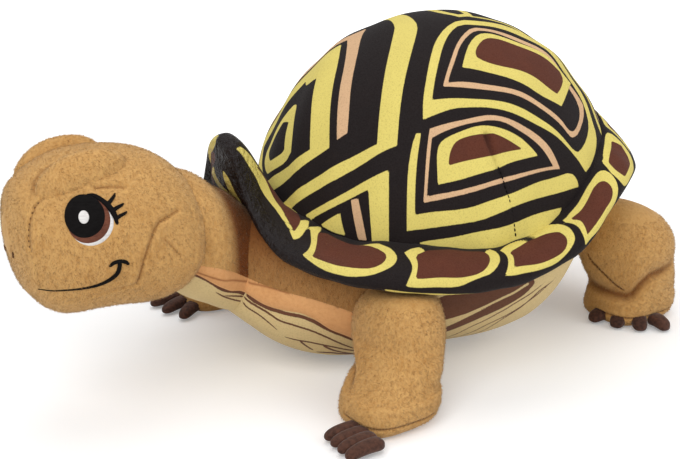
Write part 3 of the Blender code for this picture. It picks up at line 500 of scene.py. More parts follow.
PILE, PRINT = pile_group(), print_group()
THREAD_LAY = (0.6, 0.6, 2.5)
SHELL_COLOURS = ((0.011, 0.007, 0.007), (0.72, 0.6, 0.16), (0.66, 0.42, 0.24),
                 (0.1, 0.028, 0.015))
PLUSH = pile_cloth("tan_short_pile", 0.55, 0.0012, 0.35, (0.60, 0.345, 0.125),
                   (0.49, 0.25, 0.075), 0.5, (1, 1, 0.5), 0.15, (1, 0.85, 0.6, 1))
SATIN = pile_cloth("orange_brushed_satin", 0.25, 0.0006, 0.1, (0.72, 0.37, 0.15),
                   (0.6, 0.28, 0.1), 0.3)
SUEDE = pile_cloth("dark_claw_suede", 0.35, 0.0008, 0.25, (0.085, 0.034, 0.021),
                   (0.036, 0.015, 0.010), 0.7)
WHITE = pile_cloth("white_thread", 0.4, 0.0004, 0.0, (0.8, 0.78, 0.76), (0.55, 0.52, 0.5), 0.4,
                   THREAD_LAY, 0.4)
IRIS = pile_cloth("brown_thread", 0.4, 0.0004, 0.0, (0.16, 0.05, 0.025), (0.07, 0.02, 0.012),
                  0.4, THREAD_LAY, 0.4)
SEAM_THREAD = pile_cloth("brown_seam_thread", 0.4, 0.0003, 0.0, (0.17, 0.085, 0.035),
                         (0.08, 0.04, 0.018), 0.4)
BLACK = pile_cloth("black_thread", 0.3, 0.0003, 0.0, (0.006, 0.005, 0.005),
                   (0.003, 0.002, 0.002), 0.3, THREAD_LAY, 0.12)
VELOUR = print_cloth("printed_shell_velour", 0.3, 0.0006, 0.03, 0.2, SHELL_COLOURS)
ROLL = print_cloth("glossy_rim_roll", 0.6, 0.0011, 0.0, 0.22, SHELL_COLOURS)
BIB = print_cloth("printed_cream_satin", 0.2, 0.0005, 0.08, 0.3,
                  ((0.66, 0.5, 0.24), (0.13, 0.05, 0.025), (0.3, 0.14, 0.05), (0.05, 0.02, 0.012)))


# Shell

SEAT = ((0, 0.17), (0.05, 0.085), (0.15, 0.07), (0.33, 0.035), (0.45, 0.07), (0.55, 0.15),
        (0.65, 0.27), (0.75, 0.35), (0.87, 0.385), (1, 0.36))  # rise at shares of the length
DOME_ROWS, DOME_COLUMNS, DOME_DEPTH = 190, 560, 98  # the depth is in degrees from the top
DOME_TUCK = 0.006      # how far the cloth goes on inside the body
DART_DEPTH = 0.0022
DART_THREAD_SINK = (0.997, 0.997, 0.999)
CHART_TOP = (330, 480)  # place on the chart of the top of the dome
CHART_STEP = 6.2        # steps on the chart for a degree from the top
DEGREE_LENGTH = 1.75    # millimetres of cloth for a degree from the top
FAR_START, FAR_STRETCH = -11, 1.286  # from this degree the far side's plates are drawn wider


def seat_height(y):
    """Height of the line where the shell sits on the body."""
    return DOME_LEVEL + DOME[2] * smooth(SEAT, np.asarray(y) / (2 * DOME[1]) + 0.5)


# Layers of the dome's print: a colour, and an outline on the chart of the dome.
CHART = (
    # front scute, from its outer band in to its leaf
    ("yellow", [(180, 530), (262, 536), (279, 538), (344, 554), (389, 571), (420, 596),
                (465, 640), (502, 679), (535, 712), (579, 752), (567, 774), (543, 824),
                (499, 884), (416, 957), (374, 982), (262, 1040), (180, 1060)]),
    ("black", [(180, 560), (262, 566), (309, 578), (347, 594), (368, 610), (425, 662), (470, 705),
                (510, 744), (546, 778), (526, 809), (506, 837), (455, 896), (380, 956),
                (331, 980), (262, 1012), (180, 1030)]),
    ("pink", [(180, 560), (262, 604), (295, 638), (366, 696), (418, 746), (454, 780), (475, 803),
                (463, 823), (443, 805), (392, 756), (347, 713), (262, 648), (180, 600)]),
    ("yellow", [(180, 640), (262, 664), (274, 674), (313, 706), (364, 754), (403, 792),
                (455, 841), (430, 868), (388, 910), (321, 950), (262, 968), (180, 990)]),
    ("black", [(180, 770), (262, 764), (294, 750), (326, 781), (369, 821), (407, 863), (385, 882),
                (344, 911), (262, 944), (180, 950)]),
    ("yellow", [(180, 806), (262, 800), (275, 803), (303, 831), (327, 855), (346, 882),
                (335, 901), (298, 918), (262, 927), (180, 940)]),
    ("black", [(180, 842), (262, 834), (278, 835), (292, 858), (313, 883), (302, 893), (262, 906),
                (180, 910)]),
    # small scute between the front one and the lower one
    ("yellow", [(597, 787), (633, 817), (679, 858), (699, 877), (457, 993), (484, 952),
                (460, 957), (517, 906), (550, 864), (576, 824)]),
    ("black", [(586, 837), (611, 857), (643, 883), (668, 907), (559, 969), (470, 977), (484, 952),
                (525, 915), (560, 874)]),
    ("pink", [(562, 875), (575, 862), (601, 875), (637, 896), (618, 910), (582, 889)]),
    ("yellow", [(552, 905), (568, 917), (585, 926), (558, 938), (515, 948)]),
    # lower scute
    ("yellow", [(589, 712), (599, 729), (626, 759), (661, 788), (698, 817), (730, 773),
                (757, 721), (780, 666), (787, 617), (789, 577), (793, 509), (791, 447),
                (780, 386), (769, 388), (757, 404), (766, 458), (767, 503), (769, 558),
                (767, 596), (759, 644), (751, 679), (733, 720), (691, 788), (660, 765),
                (625, 735), (595, 704)]),
    ("pink", [(600, 687), (610, 659), (623, 621), (631, 591), (637, 572), (652, 544), (669, 517),
                (689, 488), (713, 462), (734, 446), (752, 436), (752, 475), (752, 526),
                (749, 577), (741, 624), (731, 669), (711, 721), (688, 763), (673, 750),
                (637, 721), (613, 700)]),
    ("black", [(615, 692), (620, 665), (630, 625), (639, 596), (645, 576), (657, 552), (673, 531),
                (694, 503), (717, 480), (736, 465), (747, 456), (747, 497), (745, 549),
                (738, 598), (730, 643), (713, 697), (685, 751), (665, 735), (635, 710)]),
    ("yellow", [(684, 722), (657, 707), (640, 696), (631, 684), (631, 667), (636, 640),
                (642, 609), (649, 590), (659, 572), (670, 554), (689, 526), (708, 509),
                (726, 495), (725, 529), (722, 566), (722, 598), (714, 636), (703, 679)]),
    ("brown", [(671, 687), (658, 677), (649, 664), (646, 651), (650, 630), (658, 606), (664, 586),
                (676, 569), (690, 551), (709, 528), (703, 570), (700, 593), (692, 625),
                (682, 655)]),
    # upper scute
    ("yellow", [(411, 496), (429, 539), (457, 580), (490, 613), (522, 643), (550, 669),
                (579, 689), (589, 657), (597, 628), (609, 601), (621, 574), (636, 548),
                (657, 511), (680, 471), (704, 423), (727, 382), (753, 355), (734, 325),
                (696, 286), (658, 263), (626, 268), (536, 292), (494, 309), (454, 323),
                (444, 372), (433, 415), (422, 455)]),
    ("black", [(428, 505), (446, 540), (473, 573), (509, 608), (539, 637), (561, 656), (578, 627),
                (596, 593), (613, 558), (633, 522), (654, 484), (680, 443), (703, 408),
                (720, 380), (719, 362), (688, 319), (650, 290), (619, 291), (553, 312),
                (519, 329), (488, 350), (469, 391), (454, 431), (440, 468)]),
    ("pink", [(445, 490), (462, 522), (485, 553), (512, 582), (535, 608), (552, 626), (570, 600),
                (588, 566), (606, 531), (625, 494), (647, 454), (677, 412), (695, 388),
                (696, 375), (683, 348), (643, 309), (612, 298), (567, 326), (533, 340),
                (503, 362), (483, 402), (467, 440), (454, 467)]),
    ("black", [(457, 491), (470, 519), (490, 548), (516, 575), (539, 602), (551, 614), (565, 585),
                (583, 552), (602, 516), (621, 479), (644, 439), (666, 407), (684, 390),
                (685, 371), (672, 351), (647, 327), (620, 319), (575, 338), (545, 349),
                (516, 372), (495, 410), (476, 446), (464, 468)]),
    ("yellow", [(537, 574), (514, 552), (488, 524), (470, 494), (470, 473), (481, 450),
                (498, 413), (516, 372), (537, 343), (560, 321), (569, 313), (602, 346),
                (625, 370), (640, 388), (634, 406), (623, 441), (599, 479), (575, 512),
                (555, 545)]),
    ("brown", [(515, 530), (500, 514), (485, 488), (487, 466), (499, 439), (519, 402), (535, 371),
                (553, 339), (570, 338), (598, 363), (614, 385), (606, 404), (588, 434),
                (568, 472), (555, 500), (540, 524), (527, 534)]),
    # pale edge under the lower scute
    ("yellow", [(732, 806), (764, 751), (787, 696), (806, 636), (814, 592), (816, 543),
                (816, 483), (814, 443), (833, 464), (849, 501), (863, 549), (869, 595),
                (828, 713), (765, 796)]),
    # top scute
    ("yellow", [(200, 400), (300, 425), (344, 434), (395, 452), (398, 486), (364, 505),
                (320, 500), (200, 470)]),
    ("black", [(200, 420), (300, 441), (341, 450), (380, 462), (384, 479), (362, 489), (320, 484),
                (200, 452)]),
    ("yellow", [(560, 315), (500, 330), (448, 352), (420, 380), (404, 408), (393, 452),
                (398, 462), (412, 420), (428, 390), (452, 362), (500, 342)]),
    # rear scute, across the middle
    ("yellow", [(180, 60), (560, 70), (680, 215), (625, 240), (540, 268), (440, 330),
                (180, 330)]),
    ("black", [(180, 85), (548, 92), (650, 210), (555, 242), (432, 305), (180, 305)]),
    ("pink", [(180, 115), (532, 120), (612, 206), (545, 225), (425, 282), (180, 282)]),
    ("black", [(180, 130), (525, 135), (592, 202), (540, 213), (420, 268), (180, 268)]),
    ("yellow", [(180, 150), (508, 152), (560, 194), (420, 246), (180, 246)]),
    ("brown", [(180, 170), (495, 172), (524, 192), (415, 226), (180, 226)]),
)
DART = ((665, 594), (682, 596), (699, 595), (718, 594), (734, 591), (756, 590), (776, 587),
        (801, 586), (837, 586))



def dome_point(polar, turn):
    """Point of the bare dome at degrees from its top and a turn from the front towards +x."""
    slope = np.radians(polar)
    return np.stack([DOME[0] * np.sin(slope) * np.sin(turn),
                     -DOME[1] * np.sin(slope) * np.cos(turn),
                     DOME_LEVEL + DOME[2] * np.cos(slope)], -1)


def dome_grid():
    """Points of the dome with their places on the chart, and how deep the dart in its side is
    there. Soft ripples run over the cloth."""
    polar = np.linspace(0.15, DOME_DEPTH, DOME_ROWS)[:, None] * np.ones(DOME_COLUMNS)
    turn = (circle(DOME_COLUMNS) - np.pi) * np.ones((DOME_ROWS, 1))
    u, v = polar * np.sin(turn), -polar * np.cos(turn)
    points = dome_point(polar, turn)
    chart_u = CHART_TOP[0] + CHART_STEP * np.where(
        u < FAR_START, FAR_START + (FAR_START - u) * FAR_STRETCH, u)
    chart_v = CHART_TOP[1] - CHART_STEP * v
    dart, share = near_line(np.stack([chart_u, chart_v, 0 * chart_u], -1),
                            [(a, b, 0) for a, b in DART])
    dart = (bump(dart, 0, 7 - 4 * np.clip(2 * share, 0, 1))
            * (1.1 - 0.8 * np.clip(2.4 * share, 0, 1)))
    ripple = (0.0007 * np.sin(u / 7.3 + 1) * np.sin(v / 8.1 + 2)
              + 0.0004 * np.sin(u / 3.1 + v / 4.7)) * ramp(polar, 0, 30)
    outward = unit((points - [0, 0, DOME_LEVEL]) / DOME ** 2)
    return points + outward * (ripple - DART_DEPTH * dart)[..., None], chart_u, chart_v, dart


def build_dome():
    """The printed dome, closed by a flat foot that lies inside the body, and its dart's thread."""
    points, u, v, dart = dome_grid()
    points[..., 2] = np.maximum(points[..., 2], seat_height(points[..., 1]) - DOME_TUCK)
    # The dart's fold gets painted shade as well as its sunk cloth.
    dome = cloth("shell_dome", points, start=(0, 0, DOME_LEVEL + DOME[2] + 0.0002),
                 end=(0, 0, DOME_LEVEL + 0.01),
                 marks={"print": printed(u, v, CHART) / CHART_STEP * DEGREE_LENGTH,
                        "painted_shade": 0.8 * np.clip(dart - 0.3, 0, 1)})
    dress(dome, VELOUR, "torso", ["shell_cover", "shell_filling"])
    east, north = (np.array(DART[3:]) - CHART_TOP).T / CHART_STEP * [[1], [-1]]
    for name, side in SIDES:
        across = east if side > 0 else FAR_START - (east - FAR_START) / FAR_STRETCH
        line = dome_point(np.hypot(across, north), np.arctan2(across, -north))
        stitches("dart_stitches_" + name, line * DART_THREAD_SINK, 15, 0.0016, 0.00035, BLACK,
                 "torso")


# Rim

RIM_STATIONS = 520
RIM_SECTION = np.radians(np.concatenate([np.linspace(90, 50, 8), np.linspace(44, -44, 19),
                                         np.linspace(-50, -90, 8)]))
RIM_HEIGHTS = ((0, 0.43), (0.022, 0.39), (0.04, 0.285), (0.056, 0.205), (0.078, 0.145),
               (0.111, 0.103), (0.2, 0.045), (0.31, 0.008), (0.4, -0.005), (0.45, 0.01),
               (0.49, 0.055), (0.54, 0.125), (0.6, 0.22), (0.67, 0.27), (0.78, 0.25),
               (0.89, 0.25), (0.95, 0.3), (1, 0.37))  # rise of the edge, from front to rear
RIM_SIDE_OVERHANG, RIM_FRONT_OVERHANG, RIM_REAR_OVERHANG = 0.017, 0.027, 0.0105
RIM_ROOT_THICKNESS, RIM_SWELL, LIP_SWELL = 0.0095, 0.0065, 0.007
RIM_TUCK = 0.004      # how far the rim goes on inside the dome
LIP_SHARE, LIP_RISE = 0.11, 0.012  # share of the way to the rear that is lip, and its rise
EDGE_DROP, FOLD_DEPTH = 0.0012, 0.0032
GLOSSY = 0.3          # gloss from which the rim has the rolled edge's cloth


def rim_lines():
    """Root, reach, steps outwards and upwards, share of lip and side of the rim at stations all
    round it, closer together at the front and the rear."""
    turn = circle(RIM_STATIONS)
    turn = turn - 0.4 * np.sin(turn)
    across, ahead = np.sin(turn), np.cos(turn)
    shrink = np.ones(RIM_STATIONS)
    for _ in range(3):
        height = seat_height(-DOME[1] * shrink * ahead)
        shrink = np.sqrt(1 - ((height - DOME_LEVEL) / DOME[2]) ** 2)
    root = np.stack([DOME[0] * shrink * across, -DOME[1] * shrink * ahead, height], -1)
    way = np.arccos(np.clip(ahead, -1, 1)) / np.pi
    square = np.where(ahead > 0, 2.3, 1.9 - 0.2 * np.clip(-4 * ahead, 0, 1))
    reach = DOME[1] + np.where(ahead > 0, RIM_FRONT_OVERHANG, RIM_REAR_OVERHANG)
    edge = np.stack([(DOME[0] + RIM_SIDE_OVERHANG) * power(across, 2 / square),
                     -reach * power(ahead, 2 / square),
                     DOME_LEVEL + DOME[2] * smooth(RIM_HEIGHTS, way)], -1)
    length = np.linalg.norm(edge - root, axis=-1)
    along = unit(edge - root)
    flat = np.linalg.norm(along[:, :2], axis=-1)
    up = np.stack([-along[:, 2] * along[:, 0] / flat, -along[:, 2] * along[:, 1] / flat, flat], -1)
    lip = np.clip(1 - (way / LIP_SHARE) ** 2, 0, 1) ** 1.5
    return root, length, along, up, lip, np.sign(across)


def dome_exit(root, along, place):
    """Distance along a line from a place near the root to where it leaves the dome."""
    start = (root + place - [0, 0, DOME_LEVEL]) / DOME
    step = along / DOME
    half = (start * step).sum(-1)
    square = (step ** 2).sum(-1)
    inner = np.maximum(half ** 2 - square * ((start ** 2).sum(-1) - 1), 0)
    return (-half + np.sqrt(inner)) / square


# Layers of the rim's print: a colour, and an outline in millimetres along the rim from its front
# and across it from the dome.
RIM_CHART = (
    ("yellow", [(9, 42), (12.6, 32), (14.1, 25.5), (17.7, 21.3), (21.8, 17.4), (27.9, 14.8),
                (37.8, 18), (45, 23), (46.5, 19.8), (44, 11.5), (41, 5), (36, 0), (24, -2),
                (12, -2), (4, 8), (3, 30)]),
    ("brown", [(9.5, 27), (8.5, 18), (13, 13.2), (18.5, 10.8), (26.5, 10.2), (36, 14.5),
               (42, 18.5), (39.5, 11), (35, 5), (28, 1.5), (15, 1), (7, 8), (6, 20)]),
    ("yellow", [(3.5, 63), (8, 62), (8.5, 70), (6, 80), (3, 92), (-4, 96), (-4, 90), (0, 80),
                (3, 72)]),
    ("yellow", [(41.7, 5.6), (45.1, 0.8), (53.2, 1.5), (61.6, 1), (71.8, 1), (80.6, 5.9),
                (86.2, 8.3), (91.5, 16.1), (91.9, 21.7), (89.6, 25.4), (84.4, 29.7), (76.6, 32.5),
                (70.2, 32), (63.6, 31.4), (57.1, 29.8), (53, 28.1), (54.1, 23.9), (51.4, 17.5),
                (46.6, 11.2)]),
    ("brown", [(47.8, 7), (49, 2.7), (58.2, 5.6), (66.6, 6.9), (74.1, 7.5), (80.1, 10.7),
               (84.6, 13), (86.9, 17), (86.8, 21.9), (83.4, 26.2), (77.6, 28), (71.2, 28),
               (64.4, 27.4), (58.9, 27.4), (57.2, 26.9), (57.1, 23.9), (53.3, 15.5)]),
    ("yellow", [(92.2, 10.3), (96.6, 3.7), (106, 1), (116, 0), (125, 0), (132.1, 1.9),
                (137.2, 6.1), (139.1, 12.3), (138.4, 17.5), (135.2, 22.6), (130.7, 24.6),
                (126.4, 26.4), (122.2, 28.7), (115.9, 30.6), (107.6, 31.5), (98.9, 32.1),
                (100, 27.7), (100, 22.5), (97.9, 17.9), (95.1, 14.4)]),
    ("brown", [(98.2, 12.4), (102, 5.5), (111.4, 4), (121.3, 3.4), (129.5, 4.6), (132.9, 8.3),
               (134, 13), (133.2, 18.4), (130.1, 22.6), (124, 24.5), (115.5, 26.1), (107.1, 27.4),
               (102.5, 27.8), (102.2, 22.7), (100.8, 17)]),
    ("yellow", [(90, 35.4), (107, 35), (122, 34), (129, 34.3), (122, 36), (107, 37.5), (90, 38)]),
    ("yellow", [(137.8, 4.2), (145, 2.2), (155, 0), (165, -0.5), (174.2, 0.9), (177.8, 4.8),
                (179.1, 10.3), (178.3, 15.3), (176.2, 18.3), (173.1, 20.6), (169.4, 22.9),
                (165.4, 24.8), (158.8, 24.4), (151.4, 24.7), (145.8, 25.1), (141.1, 24.3),
                (142.6, 20.4), (143, 14.7), (141.4, 8.8)]),
    ("brown", [(143.5, 10), (148.7, 8.4), (155.7, 4.7), (162.1, 5.4), (168.4, 6.5), (173.5, 8.8),
               (174.4, 12.9), (173.5, 16.5), (170.9, 19.7), (167.4, 21.3), (161.4, 21.7),
               (154, 21.4), (145.4, 21.2), (145.8, 16.7), (145.3, 12.7)]),
    ("yellow", [(179, 5.1), (184.6, 5.7), (199.9, 5.4), (208.5, 5.6), (215, 6.6), (218.8, 9.4),
                (220.3, 13.6), (219.7, 18.9), (217.2, 23.5), (213, 26), (207, 27), (198, 26),
                (191.9, 24.9), (186.1, 24.2), (182, 25), (181.4, 19.4), (182.2, 15.2),
                (181.8, 11.4)]),
    ("brown", [(182.2, 8.3), (188.1, 9.6), (193.7, 9.7), (200.3, 9.7), (207, 9.4), (211.9, 10.8),
               (214.2, 14.1), (214.4, 18.5), (212.4, 21.2), (207.5, 22.4), (200.5, 21.9),
               (192.8, 20.7), (184, 21), (184.9, 17.2), (185.7, 13.6), (184.4, 11.2)]),
    ("yellow", [(223.5, 6.8), (221.9, 11.2), (221.2, 16.3), (222.4, 22.8), (226.4, 26),
                (238, 26), (250, 25), (257, 21), (260, 14), (257, 7), (250, 3.5), (240, 4.2),
                (230.9, 5)]),
    ("brown", [(227, 10), (225.2, 16), (229, 21.8), (238, 22), (248, 21), (254, 15), (250, 8),
               (240, 8.6), (232, 9)]),
    ("yellow", [(263, 5), (266, 14), (264, 25), (276, 26), (288, 25), (296, 20), (299, 14),
                (296, 8), (288, 5), (275, 4)]),
    ("brown", [(268, 9), (270, 15), (269, 21), (278, 22), (287, 21), (293, 14), (286, 9),
               (276, 8.4)]),
    ("yellow", [(303, 5), (306, 14), (304, 25), (316, 26), (350, 26), (350, 4), (316, 4)]),
    ("brown", [(308, 9), (310, 15), (309, 21), (318, 22), (350, 22), (350, 8), (318, 8)]),
)
RIM_PATCHES = ((0, (5.5, 51)), (2, (7.5, 58.5)))  # cream and brown spots on the far side's lip


def rim_points():
    """Points of the rim: at each station a flat section with a rolled edge, from the dome out and
    back under, closed inside the dome. Gentle puckers run along the edge. The travel along the
    rim from its front and the side of each station come with them."""
    root, length, along, up, lip, side = rim_lines()
    middle = root + along * (length / 2)[:, None]
    travel = travelled(np.concatenate([middle, middle[:1]]))
    travel = np.minimum(travel[:-1], travel[-1] - travel[:-1]) * 1000
    share = np.cos(RIM_SECTION) ** 0.62
    knot = 0.006 * bump(travel, 0, 11) - 0.003 * bump(travel, 19, 5)
    thick = RIM_ROOT_THICKNESS + (RIM_SWELL + LIP_SWELL * lip + knot)[:, None] * share
    pucker = 1 + 0.04 * np.sin(travel * 0.35) + 0.04 * np.sin(travel * 0.17 + 1)
    tall = thick / 2 * power(np.sin(RIM_SECTION), 0.95) * pucker[:, None]
    rise = up[:, None] * tall[..., None]
    start = dome_exit(root[:, None], along[:, None], rise) - 0.0012
    depth = start + (length[:, None] - start) * share
    depth -= FOLD_DEPTH * bump(np.degrees(RIM_SECTION), -24, 13) * np.clip(
        1.3 - travel / 75, 0, 1)[:, None]
    curl = LIP_RISE * lip[:, None] * share ** 3 - EDGE_DROP * share
    points = root[:, None] + along[:, None] * depth[..., None] + rise
    points[..., 2] += curl
    tuck = (root - RIM_TUCK * along)[:, None] + up[:, None] * np.array([[-0.002], [0.002]])
    return np.concatenate([points, tuck], axis=1), travel, side


def build_rim():
    """The padded rim with its print, and a glossier cloth on the rolled edge at its front."""
    points, travel, side = rim_points()
    across = np.linalg.norm(np.diff(points, axis=1), axis=-1) * 1000
    across = np.concatenate([np.zeros((RIM_STATIONS, 1)), np.cumsum(across, axis=1)], axis=1)
    travel = travel[:, None] * np.ones(across.shape)
    sheet = printed(travel, across, RIM_CHART)
    sheet[(travel < 8) & (across < 60)] = BLANK
    for layer, place in RIM_PATCHES:
        patch = 4.2 * (np.hypot((travel - place[0]) / 5.2, (across - place[1]) / 4.2) - 1)
        patch[side >= 0] = BLANK
        sheet[..., layer] = np.minimum(sheet[..., layer], patch)
    sheet[:, -2:] = BLANK
    gloss = np.clip(1.4 - travel / 60, 0, 1) * ramp(across, 18, 26)
    rim = cloth("shell_rim", points, ring=True, marks={"print": sheet, "gloss": gloss})
    dress(rim, VELOUR, "torso",
          ["rim_upper_panel", "rim_lower_panel", "rim_padding"])
    rim.data.materials.append(ROLL)
    rim.data.polygons.foreach_set("material_index", (gloss.ravel() > GLOSSY).astype(np.int32))


# Body

# (share of the length, half width, top, widest level, underside), heights in dome levels
TORSO = ((0, 0.285, 1.3, 0.91, 0.463), (0.029, 0.375, 1.33, 0.93, 0.358),
         (0.063, 0.477, 1.33, 0.98, 0.236), (0.105, 0.58, 1.33, 1.07, 0.13),
         (0.159, 0.68, 1.37, 1.12, 0.049), (0.23, 0.8, 1.45, 1.14, 0.011),
         (0.356, 0.93, 1.6, 1.11, 0), (0.502, 1, 1.7, 1.07, 0),
         (0.607, 0.995, 1.95, 1.24, 0.065), (0.69, 0.955, 2.1, 1.56, 0.211),
         (0.774, 0.875, 2.1, 1.66, 0.358), (0.858, 0.75, 2.1, 1.64, 0.504),
         (0.925, 0.59, 1.8, 1.5, 0.683), (0.971, 0.4, 1.42, 1.3, 0.862), (1, 0.16, 1.3, 1.2, 1.0))
# (place, half width, top, widest level, underside)
NECK = ((-0.170, 0.020, 0.102, 0.0825, 0.063), (-0.160, 0.0245, 0.107, 0.080, 0.0535),
        (-0.150, 0.0264, 0.106, 0.0755, 0.0455), (-0.140, 0.0262, 0.101, 0.071, 0.040),
        (-0.135, 0.0240, 0.0965, 0.0675, 0.037), (-0.130, 0.0222, 0.094, 0.0645, 0.0345),
        (-0.120, 0.0210, 0.0865, 0.060, 0.0325), (-0.110, 0.0200, 0.078, 0.056, 0.034),
        (-0.100, 0.018, 0.068, 0.054, 0.040))
# Seams as (place along the body, height)
CHEST_SEAM = ((-0.18, 0.074), (-0.154, 0.068), (-0.140, 0.063), (-0.123, 0.053), (-0.104, 0.047),
              (-0.086, 0.038), (-0.076, 0.03))
BIB_SEAM = ((-0.18, 0.073), (-0.154, 0.063), (-0.141, 0.0535), (-0.136, 0.0505),
            (-0.130, 0.0487), (-0.1205, 0.0417), (-0.115, 0.0405), (-0.110, 0.0400),
            (-0.105, 0.037), (-0.0976, 0.031), (-0.091, 0.0272), (-0.076, 0.019))
# Lines on the near side, in millimetres
PALE_LINE = ((68, -54, 28), (71.1, -46.5, 31.8), (74.9, -40.6, 35.4), (78.1, -34.2, 38.1),
             (80.6, -29.1, 40.8), (82.9, -23.1, 43.3), (84.4, -18.3, 45.3), (86, -12, 48.5))
ORANGE_FOLD = ((24, -158, 66), (25, -150, 62), (25, -143, 58.5), (24.7, -135.7, 56.6),
               (24, -127.6, 53.2), (30, -121, 52.5), (37, -114, 51))
BIB_LINES = (
    # outlines of the underside's plates: half width in millimetres, then places on the cloth
    (1.0, ((20, -158, 66), (23, -149, 60), (22, -141, 52.5), (22, -136, 49.5), (22, -130.4, 47.5),
           (24, -125.6, 43), (29, -120.4, 40), (34, -115.3, 39.2), (40, -110.5, 38.5),
           (44, -105, 35.5), (46, -97.6, 30), (48, -91.1, 26), (49, -84, 22))),
    (0.6, ((20, -140, 48), (20, -131.1, 45.2), (22.8, -126.4, 41.6), (26.9, -121.8, 38.4),
           (31.2, -116.3, 34.1), (36.4, -111.2, 33.2), (40.2, -105.4, 30.6), (42.8, -98.8, 26.9),
           (43.8, -92.1, 22.5), (44, -80, 16))),
    (0.5, ((20.5, -144, 51.7), (18.5, -135.5, 44.7), (19, -128.1, 39.7), (23.4, -123.7, 36.1),
           (26.1, -118.8, 31.3), (27.7, -115.5, 28))),
    (0.7, ((28, -112, 24.5), (31.1, -109.3, 23.6), (36.1, -103, 22.4), (39.3, -96.5, 20.4),
           (41.2, -89.2, 17.7), (42.3, -82.4, 15.3), (44, -74, 12))),
    (0.7, ((32.9, -106.6, 22.6), (31.4, -98.4, 15.2))),
    (0.9, ((38.7, -97.3, 20.4), (37.8, -91.6, 16), (38.7, -80, 11.7))),
    (1.4, ((30, -96, 13), (35.2, -91.1, 12.6), (38, -80, 9.6), (40, -70, 8))),
    (4.6, ((66, -62, 34.5), (73.5, -50, 38), (80, -36, 41.5), (84, -22, 45), (86, -8, 49))),
    (3.6, ((66, -62, 43), (74, -50, 46.5), (80.5, -36, 49), (84.5, -22, 52), (86.5, -8, 56))),
    (2.9, ((60, -56, 21.5), (66, -45, 27.3), (76, -33, 34.2), (82.5, -20, 41), (85.7, -9, 47))),
    (0.5, ((50, -48, 11), (58.4, -38.6, 16.8), (70.1, -32.9, 25.6), (78.9, -22, 34),
           (82.5, -14.7, 38.7), (86, 0, 47))),
    (0.5, ((48, -40, 9), (60, -30, 16), (72, -24, 26), (80, -10, 36), (85, 4, 45))),
    (0.5, ((50, -28, 9), (58.5, -22.4, 14.5), (75, -18.1, 27.5), (84.6, -2, 42.8), (86, 8, 47))),
)
PLATE_ROWS = ((-72, 0.3), (-40, 0.15), (-5, -0.05), (30, -0.2), (62, -0.35))  # place, slant
BODY_FULLNESS, NECK_FULLNESS = 2.4, 2.1  # 2 is an ellipse, more is squarer
BIB_END, BELLY_END = -0.0755, 0.089
MOUTH_DEPTH = 0.0035  # length over which the body's front end rounds off into the throat
NECK_FRONT, NECK_REAR = -0.170, -0.100
NECK_SHADE = ((-0.17, 0), (-0.1375, 0), (-0.1345, 0.5), (-0.132, 0.95), (-0.1, 0.95))


def torso_rings(y):
    """Half width, top, widest level and underside of the body at places along it, and the height
    that the shell leaves it."""
    width, top, level, under = smooth(TORSO, (y - THROAT) / (RUMP - THROAT)).T
    level = level * DOME_LEVEL
    close = np.sqrt(np.clip(1 - ramp(y, THROAT + 0.0005, THROAT - MOUTH_DEPTH) ** 2, 0.02, 1))
    half = width * DOME[0] * (1 - 0.1 * bump(y, THROAT, 0.009)) * (1 - 0.1 * ramp(y, 0.005, 0.055))
    cap = np.where(y < -0.1, 0.0737 + 0.5 * np.maximum(-0.1 - y, 0), seat_height(y) - 0.005)
    return np.stack([half * close, level + (top * DOME_LEVEL - level) * close, level,
                     level - (level - 0.003 - under * DOME_LEVEL) * close], -1), (
        cap - 0.008 * ramp(y, 0.03, 0.06))


def seam_turn(rings, y, seam, fullness):
    """Turn round each ring, from its top, at which it has the height of a seam."""
    height = smooth(seam, y) - rings[:, 2]
    share = np.where(height > 0, height / (rings[:, 1] - rings[:, 2]),
                     height / (rings[:, 2] - rings[:, 3]))
    return np.arccos(power(np.clip(share, -0.999, 0.999), fullness / 2))


def body_patch(y, rings, low, high, columns, fullness, puff=0, cap=None, side=1):
    """A panel of the body between two turns round its rings, from the top down one side. It
    swells by puff between its seams and stays under the cap."""
    t = np.linspace(0, 1, columns)
    turn = low[:, None] + (high - low)[:, None] * t
    half, top, level, under = rings.T[..., None]
    share = power(np.cos(turn), 2 / fullness)
    along = y[:, None] * np.ones(columns)
    points = np.stack([side * half * power(np.sin(turn), 2 / fullness), along,
                       level + share * np.where(share > 0, top - level, level - under)], -1)
    out = unit(np.cross(np.gradient(points, axis=0), np.gradient(points, axis=1)))
    middle = np.stack([0 * along, along, level * np.ones(columns)], -1)
    out *= np.sign((out * (points - middle)).sum(-1, keepdims=True))
    points = points + out * (puff * np.sin(np.pi * t) ** 0.7)[:, None]
    if cap is not None:
        points[..., 2] = np.minimum(points[..., 2], cap[:, None])
    return points


def painted_fold_shade(points):
    """Painted shade in the fold that runs down the orange satin."""
    return 0.7 * bump(off_laid(points, ORANGE_FOLD)[0], 0, 0.55)


def bib_print(points):
    """Dark lines of the underside's plates: bent lines on each side that narrow to their ends,
    one along the middle and rows across."""
    x, y = np.abs(points[..., 0]) * 1000, points[..., 1] * 1000
    lines = np.full(x.shape, BLANK)
    for half, line in BIB_LINES:
        away, share = off_laid(points, line)
        lines = np.minimum(lines, away - half * np.sqrt(1 - (2 * share - 1) ** 6))
    lines = np.maximum(lines, 0.75 - off_laid(points, PALE_LINE)[0])
    plates = x - 0.8
    for start, slant in PLATE_ROWS:
        for place, half in ((start, 1.1), (start + 7, 0.5)):
            plates = np.minimum(plates, np.abs(y - place - slant * x) - half)
    lines = np.minimum(lines, np.maximum(plates, x + np.maximum(-y - 70, 0) - 42))
    sheet = np.full(x.shape + (3,), BLANK)
    sheet[..., 0] = lines
    return sheet


